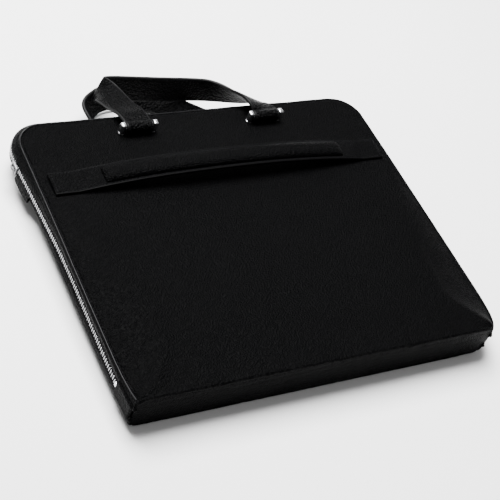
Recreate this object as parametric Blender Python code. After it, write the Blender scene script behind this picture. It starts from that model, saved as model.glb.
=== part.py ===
"""Slim leather business bag, closed and lying on its back, its two handles flopped over the top edge.

X runs along the width, Y from the bottom panel towards the handles and Z out of the front face.
The walls are worked out in the bag's own frame, whose back face is the plane z = 0. The bag then
leans by the height of its back brackets, because it lies on them and on its lower back edge.
"""
import math

import bmesh
import bpy
import numpy as np
from mathutils import Matrix, Vector

MM = 0.001

# Main form
WIDTH = 390 * MM              # across the two side seams
HEIGHT = 323 * MM             # bottom panel to top seam
DEPTH_BOTTOM = 41 * MM
DEPTH_TOP = 26 * MM
CORNER_RADIUS = 30 * MM       # of the two top corners
TOP_ROLL = 10 * MM            # the faces roll over to the top seam within this
LEATHER = 2 * MM
BOTTOM_CORNER = 11 * MM       # corner radius of the bottom panel
GAP = 0.3 * MM                # left between neighbouring pieces

# Gusset and zip, round the left side, the top and the right side
GUSSET_WIDTH = 22 * MM        # front seam to back seam
CHAIN_WIDTH = 6 * MM
CHAIN_HEIGHT = 2.4 * MM
CHAIN_PROUD = 0.7 * MM        # the chain stands over the leather beside it by this
TAPE_THICKNESS = 1 * MM
TAPE_EDGE = 1 * MM            # tape showing on each side of the chain
ZIP_END = 34 * MM             # bottom panel to the lowest tooth
STOP_LENGTH = 3.2 * MM
PATCH_THICKNESS = 1.5 * MM
PATCH_MARGIN = 2 * MM         # gusset leather left bare round each end patch
SLIDER_DROP = 42 * MM         # top seam to the slider's middle, on the left side
SLIDER_UP = HEIGHT - SLIDER_DROP
SLIDER_LENGTH = 12 * MM
SLIDER_WIDTH = 9.5 * MM
SLIDER_HEIGHT = 2.6 * MM
PULLER_LENGTH = 29 * MM
PULLER_WIDTH = 7 * MM

# Luggage strap across the front face
STRAP_UP = 241 * MM           # bottom panel to the strap's centre line
STRAP_LENGTH = 361 * MM
STRAP_WIDTH = 26 * MM
STRAP_THICKNESS = 3 * MM
STRAP_BOW = 11.5 * MM         # the strap's middle stands off the face by this
STRAP_SEWN = 24 * MM          # flat sewn length at each end
PAD_LENGTH = 262 * MM
PAD_WIDTH = 19 * MM
PAD_HEIGHT = 4.5 * MM

# Handles and their metal brackets
HANDLE_WIDTH = 28 * MM
HANDLE_THICKNESS = 3.4 * MM
BRACKET_SPACING = 142 * MM    # middle to middle
BRACKET_DROP = 24 * MM        # top seam to the bars
POST_WIDTH = 5 * MM           # along X
POST_DEPTH = 6.5 * MM         # along Y
POST_HEIGHT = 12.8 * MM
POST_CLEARANCE = 0.5 * MM     # on each side of the handle's leather
BAR_DIAMETER = 4.4 * MM
BAR_RISE = 6.9 * MM           # face to the bar's middle
HANDLE_REACH = 92 * MM        # bar to the far side of the longer loop
LAP_LENGTH = 7.5 * MM         # leather turned back under itself behind the bar
LAP_CLEARANCE = 0.8 * MM      # between the two layers there
HANDLE_LIFT = 1.5 * MM        # left under the back handle, which lies over the ground by its own stiffness

# The zip's end stops stand a little over the chain and are a little narrower.
STOP_HALF_WIDTH = CHAIN_WIDTH * 0.4
STOP_PROUD = CHAIN_PROUD * 1.6
STOP_HEIGHT = CHAIN_HEIGHT + CHAIN_PROUD * 0.6

# Shapes given as shares or powers.
GUSSET_SHARES = (0.33, 0.67)    # of a gusset's width, where its mesh has a row between seam and zip
LAP_LEVEL = 0.6                 # of the lap, where its two layers run level
WRAP_OPENS = 1.35               # of the wrap's radius, where the layers part to go round the bar
WRAP_SPREAD = 1.25              # of their half spacing, how far apart they are there
WRAP_TURN = (290, 60, -25)      # degrees round the bar: first, last, step
STRAP_BOW_POWER = 2.4           # the luggage strap is flat in its middle and steeper by its sewn ends
PAD_RIM = 0.3                   # of the pad's height, left at its rim
PAD_SIDE_FALL = 1.6             # the crown is full within 1 / 1.6 of the half width
PAD_SIDE_SQUARE = 2.2
PAD_END_FALL = 14               # and within a fourteenth of the half length
POST_ROUNDING = 0.22            # of a post's width
SLIDER_ROUNDING = 0.3           # of the slider's height

# Sections up the sides, the same on both faces. up is a share of HEIGHT, the others are shares of
# WIDTH: the face falls to the seam over the shoulder, and the seams stand in by left and right at the
# boxed lower corners and towards the top. square is the exponent of the shoulder's rounding. bulge is
# how far the zip stands out of the seams, as a share of GUSSET_WIDTH.
SIDE_COLUMNS = ("up", "shoulder", "square", "left", "right", "bulge")
SIDE_ROWS = (
    (0.000, 0.034, 2.20, 0.0070, 0.0380, 0.00),
    (0.018, 0.042, 1.90, 0.0050, 0.0210, 0.00),
    (0.062, 0.070, 1.40, 0.0030, 0.0080, -0.01),
    (0.110, 0.100, 1.30, 0.0020, 0.0035, -0.02),
    (0.164, 0.123, 1.30, 0.0015, 0.0015, -0.03),
    (0.308, 0.110, 1.40, 0.0020, 0.0020, -0.06),
    (0.450, 0.088, 1.60, 0.0028, 0.0028, -0.09),
    (0.560, 0.064, 1.80, 0.0036, 0.0036, -0.06),
    (0.700, 0.046, 2.00, 0.0045, 0.0045, 0.04),
    (0.850, 0.041, 2.00, 0.0055, 0.0055, 0.18),
    (1.000, 0.036, 2.00, 0.0064, 0.0064, 0.22),
)

# Handle routes from the left bracket to the right one. x is a share of BRACKET_SPACING, out a share
# of HANDLE_REACH beyond the bars. rise is a share of the front bars' height over the ground, and on
# the back handle a share of the height that its leaning width leaves under its middle. side_x,
# side_y and side_z point across the leather, from its outer edge at the left bracket.
ROUTE_COLUMNS = ("x", "out", "rise", "side_x", "side_y", "side_z")
FRONT_ROUTE = (
    (-0.502, 0.100, 1.000, 1.00, 0.00, 0.00),
    (-0.515, 0.220, 0.985, 1.00, 0.00, 0.04),
    (-0.537, 0.368, 0.900, 0.99, 0.00, 0.10),
    (-0.566, 0.626, 0.780, 0.88, 0.03, 0.40),
    (-0.586, 0.765, 0.685, 0.26, 0.08, 0.95),
    (-0.463, 0.790, 0.623, 0.03, 0.22, 0.97),
    (-0.166, 0.742, 0.603, 0.00, 0.18, 0.98),
    (0.184, 0.675, 0.610, -0.05, 0.08, 0.98),
    (0.317, 0.588, 0.655, -0.30, 0.00, 0.95),
    (0.400, 0.440, 0.780, -0.58, -0.12, 0.79),
    (0.446, 0.290, 0.955, -0.82, -0.12, 0.54),
    (0.474, 0.180, 1.000, -0.91, -0.05, 0.38),
    (0.492, 0.110, 1.000, -0.98, 0.00, 0.18),
)
BACK_ROUTE = (
    (-0.505, 0.110, 1.000, -1.00, 0.00, 0.00),
    (-0.600, 0.350, 1.000, -0.90, 0.05, 0.42),
    (-0.668, 0.600, 1.000, -0.58, 0.12, 0.80),
    (-0.588, 0.825, 1.000, -0.38, 0.20, 0.90),
    (-0.466, 0.920, 1.000, -0.20, 0.35, 0.90),
    (-0.317, 0.920, 1.000, 0.20, 0.60, 0.75),
    (-0.134, 0.848, 1.000, 0.58, 0.70, 0.42),
    (0.041, 0.611, 1.000, 0.61, 0.70, 0.37),
    (0.246, 0.364, 1.000, 0.66, 0.70, 0.26),
    (0.430, 0.210, 1.000, 0.90, 0.40, 0.10),
    (0.498, 0.100, 1.000, 1.00, 0.00, 0.00),
)

SHOULDER_STEPS = 5
FACE_STEPS = 8
CORNER_STEPS = 6
TOP_STEPS = 6
HANDLE_STEPS = 4              # mesh steps between two rows of a handle's route
HANDLE_COLUMNS = 4
STRAP_COLUMNS = 25
STRAP_ROWS = 3
PAD_COLUMNS = 21
PAD_ROWS = 7
PATCH_ROWS = 5
BAR_SIDES = 14


def side_value(name, up):
    """The value of one named column of the side sections at a share of the height."""
    table = np.array(SIDE_ROWS)
    return float(np.interp(up, table[:, 0], table[:, SIDE_COLUMNS.index(name)]))


def depth_at(y):
    return DEPTH_BOTTOM + (DEPTH_TOP - DEPTH_BOTTOM) * (y + HEIGHT / 2) / HEIGHT


def seam_x(y, side):
    """Where the seam of the left side (side -1) or the right side (side 1) runs, top corners rounded."""
    up = (y + HEIGHT / 2) / HEIGHT
    into_corner = min(max(0.0, y - (HEIGHT / 2 - CORNER_RADIUS)), CORNER_RADIUS)
    rounding = CORNER_RADIUS - math.sqrt(CORNER_RADIUS ** 2 - into_corner ** 2)
    inset = side_value("left" if side < 0 else "right", up) * WIDTH
    return side * (WIDTH / 2 - inset - rounding)


def roll(share, square):
    """Height of a rolled edge, from 0 at the seam to 1 on the flat of the face."""
    left = 1 - min(max(share, 0.0), 1.0)
    return (1 - left ** square) ** (1 / square)


def face_height(x, y):
    """Half the bag's depth at a place on its faces."""
    up = (y + HEIGHT / 2) / HEIGHT
    shoulder = side_value("shoulder", up) * WIDTH
    from_side = min(x - seam_x(y, -1), seam_x(y, 1) - x) / shoulder
    from_top = (HEIGHT / 2 - y) / TOP_ROLL
    drop = (depth_at(y) - GUSSET_WIDTH) / 2
    return GUSSET_WIDTH / 2 + drop * roll(from_side, side_value("square", up)) * roll(from_top, 2.0)


def front_z(x, y):
    return depth_at(y) / 2 + face_height(x, y)


def quarter_steps(count):
    """Shares from 0 to 1 that crowd towards 0, as points along a quarter round do."""
    return [1 - math.cos(math.pi / 2 * step / count) for step in range(count + 1)]


def row_heights():
    """The y of each row of a panel's mesh: the side sections, then steps round the top corners."""
    corner_start = HEIGHT / 2 - CORNER_RADIUS
    straight = [row[0] * HEIGHT - HEIGHT / 2 for row in SIDE_ROWS]
    straight = [y for y in straight if y < corner_start - CORNER_RADIUS / 2]
    corner = [HEIGHT / 2 - CORNER_RADIUS * share for share in reversed(quarter_steps(CORNER_STEPS))]
    return straight + corner


def material(name, color, roughness, metallic=0.0):
    made = bpy.data.materials.new(name)
    made.use_nodes = True
    shader = made.node_tree.nodes["Principled BSDF"]
    shader.inputs["Base Color"].default_value = (*color, 1.0)
    shader.inputs["Roughness"].default_value = roughness
    shader.inputs["Metallic"].default_value = metallic
    return made


def add_object(name, bm, finish, collection, parent=None):
    bmesh.ops.recalc_face_normals(bm, faces=bm.faces)
    if bm.calc_volume(signed=True) < 0:
        bmesh.ops.reverse_faces(bm, faces=bm.faces)
    mesh = bpy.data.meshes.new(name)
    bm.to_mesh(mesh)
    bm.free()
    mesh.materials.append(finish)
    made = bpy.data.objects.new(name, mesh)
    made.parent = parent
    collection.objects.link(made)
    return made


def sheet_mesh(outer, inner):
    """A closed wall between two grids of points of the same size."""
    along, across = outer.shape[0] - 1, outer.shape[1] - 1
    bm = bmesh.new()
    bmesh.ops.create_grid(bm, x_segments=along, y_segments=across, size=0.5)
    made = bmesh.ops.extrude_face_region(bm, geom=bm.faces[:], use_keep_orig=True)
    for item in made["geom"]:
        if isinstance(item, bmesh.types.BMVert):
            item.co.z = -1
    for vert in bm.verts:
        i = round((vert.co.x + 0.5) * along)
        j = round((vert.co.y + 0.5) * across)
        vert.co = (inner if vert.co.z < -0.5 else outer)[i, j]
    return bm


def surface_normals(grid):
    along = np.gradient(grid, axis=0)
    across = np.gradient(grid, axis=1)
    normals = np.cross(along, across)
    return normals / np.linalg.norm(normals, axis=2, keepdims=True)


def panel_grids(side):
    """Outer and inner points of the front face (side 1) or the back face (side -1)."""
    shares = quarter_steps(SHOULDER_STEPS)
    rows = []
    for y in row_heights():
        shoulder = side_value("shoulder", (y + HEIGHT / 2) / HEIGHT) * WIDTH
        left = [seam_x(y, -1) + shoulder * share for share in shares]
        right = [seam_x(y, 1) - shoulder * share for share in reversed(shares)]
        xs = left[:-1] + list(np.linspace(left[-1], right[0], FACE_STEPS + 1)) + right[1:]
        rows.append([(x, y, depth_at(y) / 2 + side * face_height(x, y)) for x in xs])
    outer = np.array(rows).transpose(1, 0, 2)
    inner = outer - side * LEATHER * surface_normals(outer)
    inner[:, 0, 1] = -HEIGHT / 2
    inner[0] = outer[0] + (LEATHER, 0, 0)
    inner[-1] = outer[-1] - (LEATHER, 0, 0)
    inner[:, -1] = outer[:, -1] - (0, LEATHER, 0)
    inner[:, -1, 0] *= 1 - LEATHER / WIDTH
    for grid in (outer, inner):
        middle = np.vectorize(depth_at)(grid[:, :, 1]) / 2
        level = np.maximum(side * (grid[:, :, 2] - middle), (GUSSET_WIDTH + GAP) / 2)
        grid[:, :, 2] = middle + side * level
    return outer, inner


def add_bottom(finish, collection, parent):
    """The bottom panel, set inside the lower edges of the four walls, its corners cut for theirs."""
    margin = LEATHER + GAP
    left = seam_x(-HEIGHT / 2, -1) + margin
    right = seam_x(-HEIGHT / 2, 1) - margin
    bm = bmesh.new()
    bmesh.ops.create_cube(bm, size=1.0)
    bmesh.ops.scale(bm, vec=(right - left, LEATHER, DEPTH_BOTTOM - 2 * margin), verts=bm.verts)
    corners = [edge for edge in bm.edges if abs(edge.verts[0].co.y - edge.verts[1].co.y) > LEATHER / 2]
    bmesh.ops.bevel(bm, geom=corners, offset=BOTTOM_CORNER, segments=3, profile=0.5, affect="EDGES")
    bottom = add_object("bottom_panel", bm, finish, collection, parent)
    bottom.location = ((left + right) / 2, -HEIGHT / 2 + LEATHER / 2, DEPTH_BOTTOM / 2)


def side_stations(low, high, side):
    """Places up one side between two heights over the bottom panel, with the direction outwards."""
    low_y, high_y = low - HEIGHT / 2, high - HEIGHT / 2
    between = [y for y in row_heights() if low_y + LEATHER < y < high_y - LEATHER]
    return [(seam_x(y, side), y, side, 0.0) for y in [low_y] + between + [high_y]]


def outline_stations(low=0.0):
    """Places and outward directions along the seams: up the left side, over the top and down."""
    corner_start = HEIGHT - CORNER_RADIUS
    flanks = []
    for side in (-1, 1):
        flank = side_stations(low, corner_start, side)[:-1]
        centre_x = abs(seam_x(corner_start - HEIGHT / 2, side)) - CORNER_RADIUS
        for step in range(CORNER_STEPS + 1):
            turn = math.pi / 2 * step / CORNER_STEPS
            out_x, out_y = side * math.cos(turn), math.sin(turn)
            flank.append((side * centre_x + CORNER_RADIUS * out_x,
                          corner_start - HEIGHT / 2 + CORNER_RADIUS * out_y, out_x, out_y))
        flanks.append(flank)
    left_end, right_end = flanks[0][-1][0], flanks[1][-1][0]
    top = [(x, HEIGHT / 2, 0.0, 1.0) for x in np.linspace(left_end, right_end, TOP_STEPS + 1)[1:-1]]
    return flanks[0] + top + flanks[1][::-1]


def bulge_at(y):
    """How far the zip stands out of the plane of the seams."""
    return side_value("bulge", (y + HEIGHT / 2) / HEIGHT) * GUSSET_WIDTH


def gusset_place(station, level, out):
    """A place on the gusset: level is the height over the middle plane, out the distance outwards."""
    x, y, out_x, out_y = station
    return (x + out_x * out, y + out_y * out, depth_at(y) / 2 + level)


def gusset_sheet(stations, levels, outs, thickness):
    """A band round the bag from levels over the middle plane, with its outer face at outs(y, level)."""
    outer = np.array([[gusset_place(s, level, outs(s[1], level)) for level in levels] for s in stations])
    inner = np.array([[gusset_place(s, level, outs(s[1], level) - thickness) for level in levels]
                      for s in stations])
    return sheet_mesh(outer, inner)


def slot_half():
    """Half the slot that the zip shows through."""
    return CHAIN_WIDTH / 2 + TAPE_EDGE


def gusset_out(y, level):
    """The gusset leather swings out from the seam to the zip."""
    share = (GUSSET_WIDTH / 2 - abs(level)) / (GUSSET_WIDTH / 2 - slot_half())
    share = min(max(share, 0.0), 1.0)
    return bulge_at(y) * math.sin(share * math.pi / 2)


def smooth_route(points, steps):
    """A smooth curve through points of any number of columns, with steps between each two."""
    table = np.array(points, float)
    padded = np.vstack([2 * table[0] - table[1], table, 2 * table[-1] - table[-2]])
    made = []
    for k in range(1, len(table)):
        before, start, end, after = padded[k - 1:k + 3]
        for step in range(steps):
            t = step / steps
            made.append(0.5 * (2 * start + (end - before) * t
                               + (2 * before - 5 * start + 4 * end - after) * t ** 2
                               + (3 * start - before - 3 * end + after) * t ** 3))
    made.append(table[-1])
    return np.array(made)


def lean_angle():
    """The bag lies on its lower back edge and on the posts of its back brackets."""
    return math.atan2(POST_HEIGHT, HEIGHT - BRACKET_DROP)


def lay_matrix():
    """From the bag's own frame to the frame in which it rests."""
    hinge = Matrix.Translation((0, -HEIGHT / 2, 0))
    return hinge @ Matrix.Rotation(lean_angle(), 4, "X") @ hinge.inverted()


def bar_place(side, x):
    """Middle of a bracket's bar on the front (side 1) or back (side -1), as the bag rests."""
    y = HEIGHT / 2 - BRACKET_DROP
    z = front_z(0, y) + BAR_RISE if side > 0 else -BAR_RISE
    return lay_matrix() @ Vector((x, y, z))


def lap_route(side, x, across):
    """The leather's end: turned back on itself, round the bar, and on to the start of the route."""
    bar = bar_place(side, x)
    radius = BAR_DIAMETER / 2 + GAP + HANDLE_THICKNESS / 2
    layer = (HANDLE_THICKNESS + LAP_CLEARANCE) / 2
    profile = [(LAP_LENGTH, -layer), (LAP_LENGTH * LAP_LEVEL, -layer)]
    profile.append((radius * WRAP_OPENS, -layer * WRAP_SPREAD))
    for turn in range(*WRAP_TURN):
        profile.append((radius * math.cos(math.radians(turn)), radius * math.sin(math.radians(turn))))
    profile += [(radius * WRAP_OPENS, layer * WRAP_SPREAD), (LAP_LENGTH * LAP_LEVEL, layer)]
    return [(bar.x, bar.y + out, bar.z + side * rise, across, 0.0, 0.0) for out, rise in profile]


def handle_rows(side, route):
    """Middle line and side direction along a whole handle, from one lap to the other."""
    bar = bar_place(side, 0)
    layer = (HANDLE_THICKNESS + LAP_CLEARANCE) / 2
    across = route[0][ROUTE_COLUMNS.index("side_x")]
    left = lap_route(side, -BRACKET_SPACING / 2, across)
    right = lap_route(side, BRACKET_SPACING / 2, -across)[::-1]
    rows = [left[-1]]
    for x, out, rise, side_x, side_y, side_z in route:
        lean = side_z / math.sqrt(side_x ** 2 + side_y ** 2 + side_z ** 2)
        if side > 0:
            z = (bar.z + layer) * rise
        else:
            upright = HANDLE_WIDTH / 2 * abs(lean) + HANDLE_THICKNESS / 2 * math.sqrt(1 - lean ** 2)
            z = max(upright * rise + HANDLE_LIFT, (bar.z - layer) * (1 - abs(lean)))
        rows.append((x * BRACKET_SPACING, bar.y + out * HANDLE_REACH, z, side_x, side_y, side_z))
    rows.append(right[0])
    return np.vstack([left[:-1], smooth_route(rows, HANDLE_STEPS), right[1:]])


def handle_mesh(side, route):
    rows = handle_rows(side, route)
    middle = rows[:, :3]
    tangent = np.gradient(middle, axis=0)
    tangent /= np.linalg.norm(tangent, axis=1, keepdims=True)
    across = rows[:, 3:] - tangent * np.sum(rows[:, 3:] * tangent, axis=1, keepdims=True)
    across /= np.linalg.norm(across, axis=1, keepdims=True)
    normal = np.cross(tangent, across)
    shares = np.linspace(-0.5, 0.5, HANDLE_COLUMNS + 1)
    flat = middle[:, None, :] + across[:, None, :] * (shares * HANDLE_WIDTH)[None, :, None]
    half = normal[:, None, :] * HANDLE_THICKNESS / 2
    return sheet_mesh(flat + half, flat - half)


def strap_lift(x):
    """Height of the luggage strap's underside over the face."""
    free = STRAP_LENGTH / 2 - STRAP_SEWN
    share = min(abs(x) / free, 1.0)
    return GAP + STRAP_BOW * (1 - share ** STRAP_BOW_POWER)


def strap_mesh():
    columns = np.linspace(-0.5, 0.5, STRAP_COLUMNS) * STRAP_LENGTH
    rows = np.linspace(-0.5, 0.5, STRAP_ROWS) * STRAP_WIDTH + STRAP_UP - HEIGHT / 2
    low = np.array([[(x, y, front_z(x, y) + strap_lift(x)) for y in rows] for x in columns])
    high = low + np.array([0, 0, STRAP_THICKNESS])
    return sheet_mesh(high, low)


def pad_mesh():
    """A padded bolster on the strap, crowned across and falling off at its ends."""
    length_shares = np.sin(np.linspace(-1, 1, PAD_COLUMNS) * math.pi / 2)
    width_shares = np.sin(np.linspace(-1, 1, PAD_ROWS) * math.pi / 2)
    edge = PAD_HEIGHT * PAD_RIM
    low, high = [], []
    for along in length_shares:
        x = along * PAD_LENGTH / 2
        low_row, high_row = [], []
        for aside in width_shares:
            y = STRAP_UP - HEIGHT / 2 + aside * PAD_WIDTH / 2
            base = front_z(x, y) + strap_lift(x) + STRAP_THICKNESS + GAP
            crown = (roll((1 - abs(aside)) * PAD_SIDE_FALL, PAD_SIDE_SQUARE)
                     * roll((1 - abs(along)) * PAD_END_FALL, 2.0))
            low_row.append((x, y, base))
            high_row.append((x, y, base + edge + (PAD_HEIGHT - edge) * crown))
        low.append(low_row)
        high.append(high_row)
    return sheet_mesh(np.array(high), np.array(low))


def rounded_box(size, bevel):
    bm = bmesh.new()
    bmesh.ops.create_cube(bm, size=1.0)
    bmesh.ops.scale(bm, vec=size, verts=bm.verts)
    bmesh.ops.bevel(bm, geom=bm.edges[:], offset=bevel, segments=2, profile=0.5, affect="EDGES")
    return bm


def union(target, other):
    modifier = target.modifiers.new("union_" + other.name, "BOOLEAN")
    modifier.operation = "UNION"
    modifier.solver = "EXACT"
    modifier.object = other


def add_bracket(name, side, x, finish, collection, cutters, parent):
    """Two posts joined by the bar that the handle's leather is looped round."""
    y = HEIGHT / 2 - BRACKET_DROP
    face = front_z(0, y) if side > 0 else 0.0
    post_x = HANDLE_WIDTH / 2 + POST_CLEARANCE + POST_WIDTH / 2
    height = POST_HEIGHT - GAP
    size = (POST_WIDTH, POST_DEPTH, height)
    middle = face + side * (GAP + height / 2)
    posts = []
    for number, sign in enumerate((-1, 1)):
        bm = rounded_box(size, POST_WIDTH * POST_ROUNDING)
        bmesh.ops.translate(bm, vec=(sign * post_x, 0, 0), verts=bm.verts)
        place = collection if number == 0 else cutters
        label = name if number == 0 else name + "_far_post"
        posts.append(add_object(label, bm, finish, place, parent))
    bm = bmesh.new()
    turn = Matrix.Rotation(math.pi / 2, 4, "Y")
    bmesh.ops.create_cone(bm, cap_ends=True, segments=BAR_SIDES, radius1=BAR_DIAMETER / 2,
                          radius2=BAR_DIAMETER / 2, depth=2 * post_x, matrix=turn)
    bmesh.ops.translate(bm, vec=(0, 0, face + side * BAR_RISE - middle), verts=bm.verts)
    bar = add_object(name + "_bar", bm, finish, cutters, parent)
    for made in (*posts, bar):
        made.location = (x, y, middle)
    for tool in (bar, posts[1]):
        tool.hide_render = True
        tool.display_type = "WIRE"
        union(posts[0], tool)
    return posts[0]


def add_gusset(leather, metal, cloth, collection, parent):
    """Leather bands, tape, chain and the small pieces at the chain's two ends."""
    stations = outline_stations()
    edge = slot_half() + GAP / 2
    seam = GUSSET_WIDTH / 2 - GAP / 2
    levels = [seam, *(seam + (edge - seam) * share for share in GUSSET_SHARES), edge]
    for name, side in (("gusset_front", 1), ("gusset_back", -1)):
        band = gusset_sheet(stations, [side * level for level in levels], gusset_out, LEATHER)
        add_object(name, band, leather, collection, parent)

    tape_half = slot_half() - GAP
    tape_out = CHAIN_PROUD - CHAIN_HEIGHT - GAP
    tape = gusset_sheet(outline_stations(LEATHER + GAP), [-tape_half, tape_half],
                        lambda y, level: bulge_at(y) + tape_out, TAPE_THICKNESS)
    add_object("zip_tape", tape, cloth, collection, parent)

    chain = gusset_sheet(outline_stations(ZIP_END), [-CHAIN_WIDTH / 2, CHAIN_WIDTH / 2],
                         lambda y, level: bulge_at(y) + CHAIN_PROUD, CHAIN_HEIGHT)
    add_object("zip_chain", chain, metal, collection, parent)

    for name, side in (("left", -1), ("right", 1)):
        stop_top = ZIP_END - GAP
        stop = gusset_sheet(side_stations(stop_top - STOP_LENGTH, stop_top, side),
                            [-STOP_HALF_WIDTH, STOP_HALF_WIDTH],
                            lambda y, level: bulge_at(y) + STOP_PROUD, STOP_HEIGHT)
        add_object("zip_stop_" + name, stop, metal, collection, parent)
        patch_half = GUSSET_WIDTH / 2 - PATCH_MARGIN
        patch_levels = list(np.linspace(-patch_half, patch_half, PATCH_ROWS))
        patch_top = stop_top - STOP_LENGTH - GAP
        patch = gusset_sheet(side_stations(PATCH_MARGIN, patch_top, side), patch_levels,
                             lambda y, level: max(gusset_out(y, level), 0) + PATCH_THICKNESS + GAP,
                             PATCH_THICKNESS)
        add_object("zip_patch_" + name, patch, leather, collection, parent)


def add_slider(leather, metal, collection, parent):
    """The slider rides on the chain at the left, with its leather puller turned to the back."""
    y = SLIDER_UP - HEIGHT / 2
    out = bulge_at(y) + CHAIN_PROUD + GAP
    side_x = seam_x(y, -1) - out
    middle = depth_at(y) / 2
    bm = rounded_box((SLIDER_HEIGHT, SLIDER_LENGTH, SLIDER_WIDTH), SLIDER_HEIGHT * SLIDER_ROUNDING)
    slider = add_object("zip_slider", bm, metal, collection, parent)
    slope = math.atan2(bulge_at(y + SLIDER_LENGTH / 2) - bulge_at(y - SLIDER_LENGTH / 2), SLIDER_LENGTH)
    slider.location = (side_x - SLIDER_HEIGHT / 2, y, middle)
    slider.rotation_euler = (0, 0, slope)

    puller_top = SLIDER_UP - SLIDER_LENGTH / 2 - GAP
    stations = side_stations(puller_top - PULLER_LENGTH, puller_top, -1)
    start = -slot_half() - GAP
    levels = [start - PULLER_WIDTH * share for share in (0, 0.5, 1)]
    puller = gusset_sheet(stations, levels,
                          lambda py, level: gusset_out(py, level) + 2 * GAP + LEATHER, LEATHER)
    add_object("zip_puller", puller, leather, collection, parent)


def rest_on_ground(objects, root):
    """Puts the origin on the ground, under the middle of the whole bag."""
    bpy.context.view_layer.update()
    depsgraph = bpy.context.evaluated_depsgraph_get()
    corners = []
    for made in objects:
        evaluated = made.evaluated_get(depsgraph)
        corners += [evaluated.matrix_world @ vert.co for vert in evaluated.data.vertices]
    low = [min(corner[axis] for corner in corners) for axis in range(3)]
    high = [max(corner[axis] for corner in corners) for axis in range(3)]
    root.location = (-(low[0] + high[0]) / 2, -(low[1] + high[1]) / 2, -low[2])


def main():
    for old in list(bpy.data.objects):
        bpy.data.objects.remove(old)
    bag = bpy.data.collections.new("business_bag")
    cutters = bpy.data.collections.new("cutters")
    for collection in (bag, cutters):
        bpy.context.scene.collection.children.link(collection)

    leather = material("black_leather", (0.012, 0.012, 0.013), 0.5)
    metal = material("polished_metal", (0.72, 0.72, 0.74), 0.22, 1.0)
    cloth = material("zip_cloth", (0.008, 0.008, 0.008), 0.85)

    root = bpy.data.objects.new("bag_on_ground", None)
    body = bpy.data.objects.new("bag_leaning", None)
    for empty in (root, body):
        bag.objects.link(empty)
    body.parent = root
    body.matrix_local = lay_matrix()

    add_object("front_panel", sheet_mesh(*panel_grids(1)), leather, bag, body)
    add_object("back_panel", sheet_mesh(*panel_grids(-1)), leather, bag, body)

    add_bottom(leather, bag, body)

    add_gusset(leather, metal, cloth, bag, body)
    add_slider(leather, metal, bag, body)
    add_object("luggage_strap", strap_mesh(), leather, bag, body)
    add_object("strap_pad", pad_mesh(), leather, bag, body)

    for face, side, route in (("front", 1, FRONT_ROUTE), ("back", -1, BACK_ROUTE)):
        add_object("handle_" + face, handle_mesh(side, route), leather, bag, root)
        for hand, sign in (("left", -1), ("right", 1)):
            add_bracket(f"bracket_{face}_{hand}", side, sign * BRACKET_SPACING / 2, metal, bag, cutters, body)

    rest_on_ground([made for made in bag.objects if made.type == "MESH"], root)


main()
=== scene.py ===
"""Dresses the slim leather business bag: leather, seams, stitching, zip, straps, handles, brackets."""
import math

import bmesh
import bpy
import numpy as np
from bpy.props import FloatProperty, FloatVectorProperty, PointerProperty
from mathutils import Matrix, Vector, noise


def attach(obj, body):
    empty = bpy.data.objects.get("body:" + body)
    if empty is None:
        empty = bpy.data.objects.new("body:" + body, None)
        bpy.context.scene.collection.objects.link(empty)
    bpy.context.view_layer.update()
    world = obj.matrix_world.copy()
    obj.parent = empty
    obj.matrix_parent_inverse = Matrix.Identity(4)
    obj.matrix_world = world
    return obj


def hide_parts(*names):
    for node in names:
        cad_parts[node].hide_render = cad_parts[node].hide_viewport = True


bl_info = {
    "name": "Business bag",
    "version": (1, 0, 0),
    "blender": (4, 5, 0),
    "location": "View3D > Sidebar > Bag",
    "description": "Builds the leather, stitching, zip and metal of a slim business bag over its solids",
    "category": "Object",
}

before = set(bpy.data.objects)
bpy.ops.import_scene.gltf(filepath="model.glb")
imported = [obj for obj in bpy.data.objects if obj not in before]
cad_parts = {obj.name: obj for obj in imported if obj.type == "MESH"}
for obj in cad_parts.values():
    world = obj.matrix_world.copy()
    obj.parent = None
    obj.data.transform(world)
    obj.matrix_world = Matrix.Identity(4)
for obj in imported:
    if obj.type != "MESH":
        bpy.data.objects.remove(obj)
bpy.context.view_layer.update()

# Sizes that the solids have too
MM = 0.001
WIDTH = 390 * MM
HEIGHT = 323 * MM
DEPTH_BOTTOM = 41 * MM
DEPTH_TOP = 26 * MM
CORNER_RADIUS = 30 * MM
CORNER_Y = HEIGHT / 2 - CORNER_RADIUS
TOP_ROLL = 10 * MM
LEATHER = 2 * MM
GAP = 0.3 * MM
GUSSET_WIDTH = 22 * MM
CHAIN_WIDTH = 6 * MM
CHAIN_HEIGHT = 2.4 * MM
CHAIN_PROUD = 0.7 * MM
TAPE_EDGE = 1 * MM
SLOT_HALF = CHAIN_WIDTH / 2 + TAPE_EDGE
ZIP_END = 34 * MM
STOP_LENGTH = 3.2 * MM
PATCH_THICKNESS = 1.5 * MM
PATCH_MARGIN = 2 * MM
SLIDER_DROP = 42 * MM
SLIDER_UP = HEIGHT - SLIDER_DROP
SLIDER_LENGTH = 12 * MM
SLIDER_WIDTH = 9.5 * MM
SLIDER_HEIGHT = 2.6 * MM
PULLER_LENGTH = 29 * MM
PULLER_WIDTH = 7 * MM
STRAP_UP = 241 * MM
STRAP_Y = STRAP_UP - HEIGHT / 2
STRAP_LENGTH = 361 * MM
STRAP_WIDTH = 26 * MM
STRAP_THICKNESS = 3 * MM
STRAP_BOW = 11.5 * MM
STRAP_BOW_POWER = 2.4
STRAP_SEWN = 24 * MM
PAD_LENGTH = 262 * MM
PAD_WIDTH = 19 * MM
PAD_HEIGHT = 4.5 * MM
HANDLE_WIDTH = 28 * MM
HANDLE_THICKNESS = 3.4 * MM
HANDLE_REACH = 92 * MM
HANDLE_LIFT = 1.5 * MM
LAP_LENGTH = 7.5 * MM
LAP_CLEARANCE = 0.8 * MM
LAP_LAYER = (HANDLE_THICKNESS + LAP_CLEARANCE) / 2
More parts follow.
